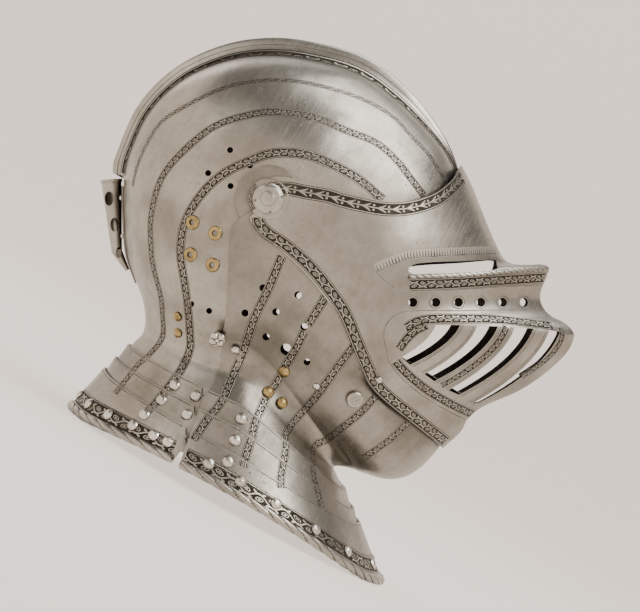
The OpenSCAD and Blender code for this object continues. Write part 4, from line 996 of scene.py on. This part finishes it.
# bands and lines of the visor: width, finish, strips across, spacing along, and the middle line
VISOR_BANDS = {
    "brow_band": (10.2, ARROWS, 10, 1.4, [
        (-4, 9), (-1, 10.8), (6, 11.6), (14.5, 11.4), (27, 8.8), (43, 6), (56, 2), (83.5, -3.5), (104, -3),
        (122.5, 2.5), (134.5, 10.5), (143.5, 20.5)]),
    "lap_band": (9.2, VINE, 8, 1.4, [
        (-9.5, -10), (-8.6, -14.5), (-2.5, -21.5), (11.5, -31), (29, -46.5), (44, -64.5), (55.5, -81.5),
        (64, -101.5), (72.5, -122), (78, -133.5), (89, -145), (106, -158.5), (131, -178)]),
    "fold_line": (1.0, LINE, 2, 1.4, [
        (79, -50.5), (88, -46.5), (96, -43.5), (103, -41), (122, -39.2), (145, -38), (170, -37)]),
    "fold_fringe": (5.4, FRINGE, 4, 1.4, [
        (78, -47.5), (87, -43.5), (95, -40.5), (103, -38), (122, -36.2), (145, -35), (169, -34)]),
    "ledge_band": (8.4, VINE_WIDE, 6, 1.2, [(104, -60.6), (134, -59.6), (172, -57.2), (205, -55.2)]),
    "leaf_line": (0.8, LINE, 2, 1.4, [
        (79, -51.5), (85, -57), (91.5, -62), (102, -65), (134, -64.5), (172, -62), (203, -60.5)]),
    "grille_top_band": (7.6, VINE_WIDE, 6, 1.2, [
        (101, -93), (110, -88), (123, -86), (142, -85.8), (172, -86.5), (211, -91)]),
    "grille_top_line": (0.9, LINE, 2, 1.4, [
        (86.5, -109), (84.5, -98), (88, -88), (97, -81.8), (110, -80), (142, -80), (172, -79.5),
        (204, -79.5)]),
    "grille_leaf": (7.5, VINE_WIDE, 6, 1.0, [(96, -109), (102, -101), (109, -94.5), (117, -90.5)]),
    "grille_low_band": (7.2, VINE_WIDE, 8, 1.2, [
        (93.5, -118), (103, -128), (118, -140), (136, -150.5), (152, -158)]),
    "grille_low_line": (0.9, LINE, 2, 1.4, [
        (86.5, -109), (89, -119), (99, -131.5), (115, -144.5), (132.5, -155), (148.5, -162.5)])}
for name, (width, material, columns, step, line) in VISOR_BANDS.items():
    band(name, line, width, material, ["visor"], columns, step)


def bar_line(i, share):
    """Line along bar i of the grille, at a share of its width from the middle."""
    left, right = bar_edge(i, -1), bar_edge(i, 1)
    return lerp(bar_curve(*left), bar_curve(*right), 0.5 + share / 2)


def side_on(places):
    """Points and normals, in mm, where lines along +Y through places of the side view meet the visor."""
    run = []
    for x, z in places:
        start = standing(np.array([x, -VISOR_W - 15, z], float))
        hit, normal, _, _ = PLATES["visor"].ray_cast(Vector(start * MM), Vector((0, 1, 0)), SIDE_REACH)
        if hit is not None:
            n = np.array(normal)
            run.append((np.array(hit) / MM, n if n[1] < 0 else -n))
    return run


def true_band(name, line, width, material, columns=4, step=1.2):
    """Band on the visor along a line that is given where it really lies, rather than as it is seen."""
    strip = ribbon(PLATES["visor"], side_on(even_line(line, step)), width, columns)
    laid(name, [strip], material, "visor")


for i in range(3):
    for side, word in ((-1, "rear"), (1, "front")):
        for kind, share, width in (("line", 0.62, 0.9), ("edge", 0.84, 0.7)):
            true_band(f"bar_{i + 1}_{kind}_{word}", bar_line(i, share * side), width, LINE, 2)
PIVOT_ARC = [(13 * math.cos(math.radians(a)), 13 * math.sin(math.radians(a))) for a in range(130, 226, 8)]
true_band("pivot_band", PIVOT_ARC, 3.2, TWIST, 3, step=0.8)
true_band("bar_2_band", bar_line(1, 0.0), 6.6, VINE_WIDE)
KEEL = [(216.5, -93), (217, -101), (209, -113), (196, -123.5), (181, -133), (165, -141.5)]
true_band("keel_band", KEEL, 6.0, VINE_WIDE)

breath_rings = []
r = BREATH_R + RING_GAP
for t in np.arange(BREATH_COUNT) / (BREATH_COUNT - 1):
    x, z = lerp(BREATH_FIRST, BREATH_LAST, t)
    run = side_on(disc(x, z, r, 40).tolist() + [[x + r, z]])
    breath_rings.append(ribbon(PLATES["visor"], run, 0.9, 2))
laid("breath_hole_rings", breath_rings, LINE, "visor")


def gorget_strip(k, front, u, width, a0, a1, columns):
    """Strip round a gorget plate at a share u of the way down it."""
    a = np.arange(a0, a1 + 0.5)
    length = travelled(plate_point(k, a, u, front, 0)) / width
    per_u = np.linalg.norm(plate_point(k, a, 1.0, front, 0) - plate_point(k, a, 0.0, front, 0), axis=-1)
    v = np.arange(columns + 1) / columns
    share = u + (v[None] - 0.5) * width / per_u[:, None]
    points = plate_point(k, a[:, None], share, front, LIFT)
    uv = [(along, float(w)) for along in length for w in v]
    return points.reshape(-1, 3), grid_faces(len(a), columns + 1), uv


for end, front, a0, a1 in ENDS:
    strips = [("border_band", 2, 0.74, 13.0, 6, VINE_WIDE), ("border_line", 2, 0.57, 1.2, 2, LINE)]
    for k, part in enumerate(GORGET):
        strips.append((part + "_edge_line", k, 0.09 if k < 2 else 0.05, 1.1, 2, LINE))
    for name, k, u, width, columns, material in strips:
        strip = gorget_strip(k, front, u, width, a0 + 1, a1 - 1, columns)
        laid(f"{end}_{name}", [strip], material, f"{end}_{GORGET[k]}", mirror=False)

# roping
RIM_LAY, LEDGE_LAY, LEDGE_ROPE_R = 42, 12, 1.7
COMB_LAY, COMB_SLANT, COMB_ROPE_W = 20.0, 6.0, 1.25  # the width in half widths of the comb
for end, front, a0, a1 in ENDS:
    a = np.linspace(a0, a1, int((a1 - a0) * 2.4))
    path = ring_at(a, 1.0, front, -LAME_T / 2)
    up = ring_at(a, 1.0, front, 5.0) - path
    node = f"{end}_gorget_plate"
    finish_plate(f"{end}_rim_rope", rope(path, up, ROPE_R - 0.25, 3, RIM_LAY, 0.3, floor=0.02),
                 [ROPE_STEEL, GROOVE_GRIME_AND_SHADE], BODY_OF[node], SLOT_OF[node])


def comb_roping():
    """Slanting grooves and swells over the crest of the comb."""
    s = np.linspace(1.4, COMB_END - 0.02, 760)
    x = np.linspace(-COMB_ROPE_W, COMB_ROPE_W, 15)
    base = skull_point(s[:, None], x[None] * COMB_W / SKULL_W, comb_share(x)[None] * COMB_LEFT)
    along = travelled(base[:, len(x) // 2])
    turn = ((along[:, None] + x[None] * COMB_SLANT) / COMB_LAY) % 1
    swell = 0.34 + 0.3 * (1 - (2 * turn - 1) ** 4) * (1 - np.abs(x[None]) / COMB_ROPE_W).clip(0)
    groove = np.minimum(turn, 1 - turn) * COMB_LAY
    height = np.where(groove < 1.0, lerp(0.3, swell, groove), swell)
    height[:, [0, -1]] = -0.1
    outer = standing(base + normals_of(base) * height[..., None])
    mesh = shell("comb_roping", outer, standing(base - normals_of(base) * 0.4))
    # painted shade: the slanting grooves take the dark grime and shade material
    return painted(mesh, (groove < 1.2)[:-1, :-1].ravel())


finish_plate("comb_roping", comb_roping(), [ROPE_STEEL, GROOVE_GRIME_AND_SHADE], "head", "steel_skull")

# roped edge of the ledge under the sight slit
ledge = [seen_at(PLATES["visor"], x, z) for x, z in even_line(
    [(103, -55), (120, -54.2), (142, -53.4), (164, -51.8), (187, -49.6), (205, -48.4)], 0.8)]
ledge = [e for e in ledge if e is not None]
path = np.array([p for p, _ in ledge])
turned_out = np.array([n for _, n in ledge])
for _ in range(6):
    path[1:-1] = (path[:-2] + path[1:-1] + path[2:]) / 3
    turned_out[1:-1] = unit(turned_out[:-2] + turned_out[1:-1] + turned_out[2:])
for side, word in ((1, "right"), (-1, "left")):
    flip = np.array([1, side, 1])
    mesh = rope(path * flip, turned_out * flip, LEDGE_ROPE_R, 2, LEDGE_LAY * side, 0.26, around=16, grime_and_shade_share=0.3)
    finish_plate(f"ledge_rope_{word}", mesh, [ROPE_STEEL, GROOVE_GRIME_AND_SHADE], "visor", "steel_visor")

# leathers inside the gorget
LEATHER_T, STRAP_W = 1.4, 14
REAR_STUDS = [(0, 121, 0.55), (1, 123, 0.5), (2, 126, 0.29)]
FRONT_STUDS = [(0, 90, 0.55), (1, 91, 0.5), (2, 92, 0.3)]


def lining_band(front):
    """Leather band inside the border, a little wavy, with pinked edges."""
    a0, a1 = (-90.6, 90.6) if front else (110, 250)
    a = np.linspace(a0, a1, 240)
    u = np.linspace(0.5, 0.82, 9)
    edge = np.abs(np.linspace(-1, 1, 9))
    wave = 0.12 * np.sin(np.radians(a * 23))[:, None] * edge[None]
    grid = u[None] + 0.006 * np.sin(np.radians(a * 71))[:, None] * np.where(edge > 0.99, 1, 0)[None]
    deep = LAME_T + 0.35
    return shell("band", plate_point(2, a[:, None], grid, front, -deep),
                 plate_point(2, a[:, None], grid, front, -deep - LEATHER_T + 0.1 + wave))


def strap(studs, front):
    """Leather strap inside the lames, swelling a little between its rivets."""
    spots = [plate_point(k, a, u, front, -(LAME_PITCH * (1 - u) + 3.9)) for k, a, u in studs]
    normals = [unit(plate_point(k, a, u, front, 1) - plate_point(k, a, u, front, 0)) for k, a, u in studs]
    ends = np.array([spots[0] - unit(spots[1] - spots[0]) * 2.8, *spots,
                     spots[2] + unit(spots[2] - spots[1]) * 2.8])
    t = np.linspace(0, 1, 41)
    c = spline(ends, t)
    across = unit(np.cross(normals[1], spots[2] - spots[0])) * STRAP_W / 2
    v = unit(np.cross(across, spots[2] - spots[0]))
    j = np.linspace(-1, 1, 9)
    tip = np.sqrt(np.clip(1 - (np.abs(2 * t - 1) - 0.9).clip(0) ** 2 / 0.013, 0.15, 1))
    top = c[:, None] + across * j[None, :, None] * tip[:, None, None]
    round_off = (0.35 * np.abs(j) ** 6)[None, :, None]
    return shell("strap", top + v * round_off, top + v * (LEATHER_T - round_off))


def stitches(front):
    """Thread stitches along the lower edge of the lining band."""
    points, faces = [], []
    a0, a1 = (-89, 89) if front else (111, 249)
    for a in np.arange(a0, a1, 1.6):
        c = plate_point(2, np.array([a - 0.42, a, a + 0.42]), 0.795, front, -(LAME_T + 0.3 + LEATHER_T))
        out = unit(plate_point(2, a, 0.795, front, 1) - plate_point(2, a, 0.795, front, 0))
        down = unit(plate_point(2, a, 0.9, front, 0) - plate_point(2, a, 0.7, front, 0))
        base = len(points)
        for i, p in enumerate(c):
            r = (0.18, 0.34, 0.18)[i]
            for t in np.arange(6) * math.pi / 3:
                points.append(p + (down * math.cos(t) + out * math.sin(t)) * r)
        faces += (grid_faces(3, 6, closed=True) + base).tolist()
    return mesh_of(np.array(points), faces, "stitches")


for end, front, studs in (("rear", False, REAR_STUDS), ("front", True, FRONT_STUDS)):
    strap_r = strap(studs, front)
    strap_l = strap_r.copy()
    strap_l.transform(Matrix.Scale(-1, 4, (0, 1, 0)))
    strap_l.flip_normals()
    for name, mesh, material, body, nodes in (
            ("lining_leather", lining_band(front), [LEATHER] * 2, "plate", [f"{end}_lining_band"]),
            ("lining_stitches", stitches(front), [THREAD], "plate", []),
            ("strap_right", strap_r, [LEATHER] * 2, "upper", [f"{end}_straps"]),
            ("strap_left", strap_l, [LEATHER] * 2, "upper", [])):
        finish_plate(f"{end}_{name}", mesh, material, f"{end}_{body}", "lining_leather", *nodes)

# the CAD's own fittings
FINISHES = {}
for material, names in (
        (FITTING_STEEL, "pivot_bolt_right pivot_bolt_left plume_tube spring_button"),
        (SPRING_STEEL, "pivot_nut_right pivot_nut_left button_spring"),
        (STUD_STEEL_LIT, "plume_rivets turning_catch spring_rivet"),
        (BRASS, "skull_eyelets skull_rivets bevor_rivets"),
        (LAME_STEEL_SHADED, "plume_plate")):
    FINISHES.update((name, material) for name in names.split())
for name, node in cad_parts.items():
    if name.endswith("_studs"):
        FINISHES[name] = STUD_STEEL_LIT
    if name in FINISHES:
        for slot in node.material_slots:
            slot.material = FINISHES[name]

# studio
BACKDROP_COLOUR = (0.74, 0.645, 0.57)


def studio():
    """Round pale floor that rises into a wall all round, soft lights, and a pale sky."""
    floor_r, bend_r, sink, n = 3.4, 1.6, 0.0002, 96
    profile = [(r, 0) for r in (0, 1.2, 2.4, floor_r)]
    profile += [(floor_r + bend_r * math.sin(t), bend_r * (1 - math.cos(t)))
                for t in np.linspace(0.15, math.pi / 2, 12)]
    profile += [(floor_r + bend_r, z) for z in (2.4, 3.4)]
    t = 2 * math.pi * np.arange(n) / n
    rings = [np.stack([r * np.cos(t), r * np.sin(t), np.full(n, z - sink)], -1) for r, z in profile]
    mesh = mesh_of(np.concatenate(rings), grid_faces(len(rings), n, closed=True), "backdrop", metres=True)
    m = Shade("backdrop_paper", 0.0, 0.95, BACKDROP_COLOUR)
    m.colour(m.mix(m.noise(0.7, 2), (0.3, 0.276, 0.256), (0.28, 0.258, 0.24)))
    m.bsdf.inputs["Emission Color"].default_value = (*BACKDROP_COLOUR, 1)
    m.bsdf.inputs["Emission Strength"].default_value = 1.5
    mesh.materials.append(m.mat)
    mesh.shade_smooth()
    backdrop = piece("backdrop", mesh)
    world = bpy.data.worlds.new("studio_sky")
    world.use_nodes = True
    world.node_tree.nodes["Background"].inputs[0].default_value = (0.86, 0.83, 0.8, 1)
    world.node_tree.nodes["Background"].inputs[1].default_value = 0.3
    bpy.context.scene.world = world
    for name, place, size, power, colour in (
            ("key", (0.9, -0.9, 1.9), 1.6, 46, (1, 0.98, 0.95)),
            ("fill", (-1.7, -1.2, 1.3), 1.4, 4, (1, 0.99, 0.97)),
            ("top", (0.1, 0.3, 2.2), 1.6, 34, (1, 0.99, 0.97)),
            ("rear", (-0.9, 1.7, 1.2), 1.3, 4, (1, 0.98, 0.96))):
        light = bpy.data.lights.new(name, "AREA")
        light.shape, light.size, light.energy, light.color = "DISK", size, power, colour
        lamp = bpy.data.objects.new(name, light)
        lamp.location = place
        lamp.rotation_euler = (Vector((0, 0, 0.17)) - Vector(place)).to_track_quat("-Z", "Y").to_euler()
        bpy.context.scene.collection.objects.link(lamp)


def camera():
    """Camera at the photo's viewpoint, level along +Y and rolled by the lean of the face."""
    data = bpy.data.cameras.new("photo_camera")
    data.lens, data.sensor_width, data.sensor_fit = LENS, SENSOR, "HORIZONTAL"
    cam = bpy.data.objects.new("photo_camera", data)
    c, s = math.cos(TILT), math.sin(TILT)
    cam.matrix_world = Matrix.Translation(EYE * MM) @ Matrix(((c, -s, 0), (0, 0, -1), (s, c, 0))).to_4x4()
    bpy.context.scene.collection.objects.link(cam)
    bpy.context.scene.camera = cam


studio()
camera()
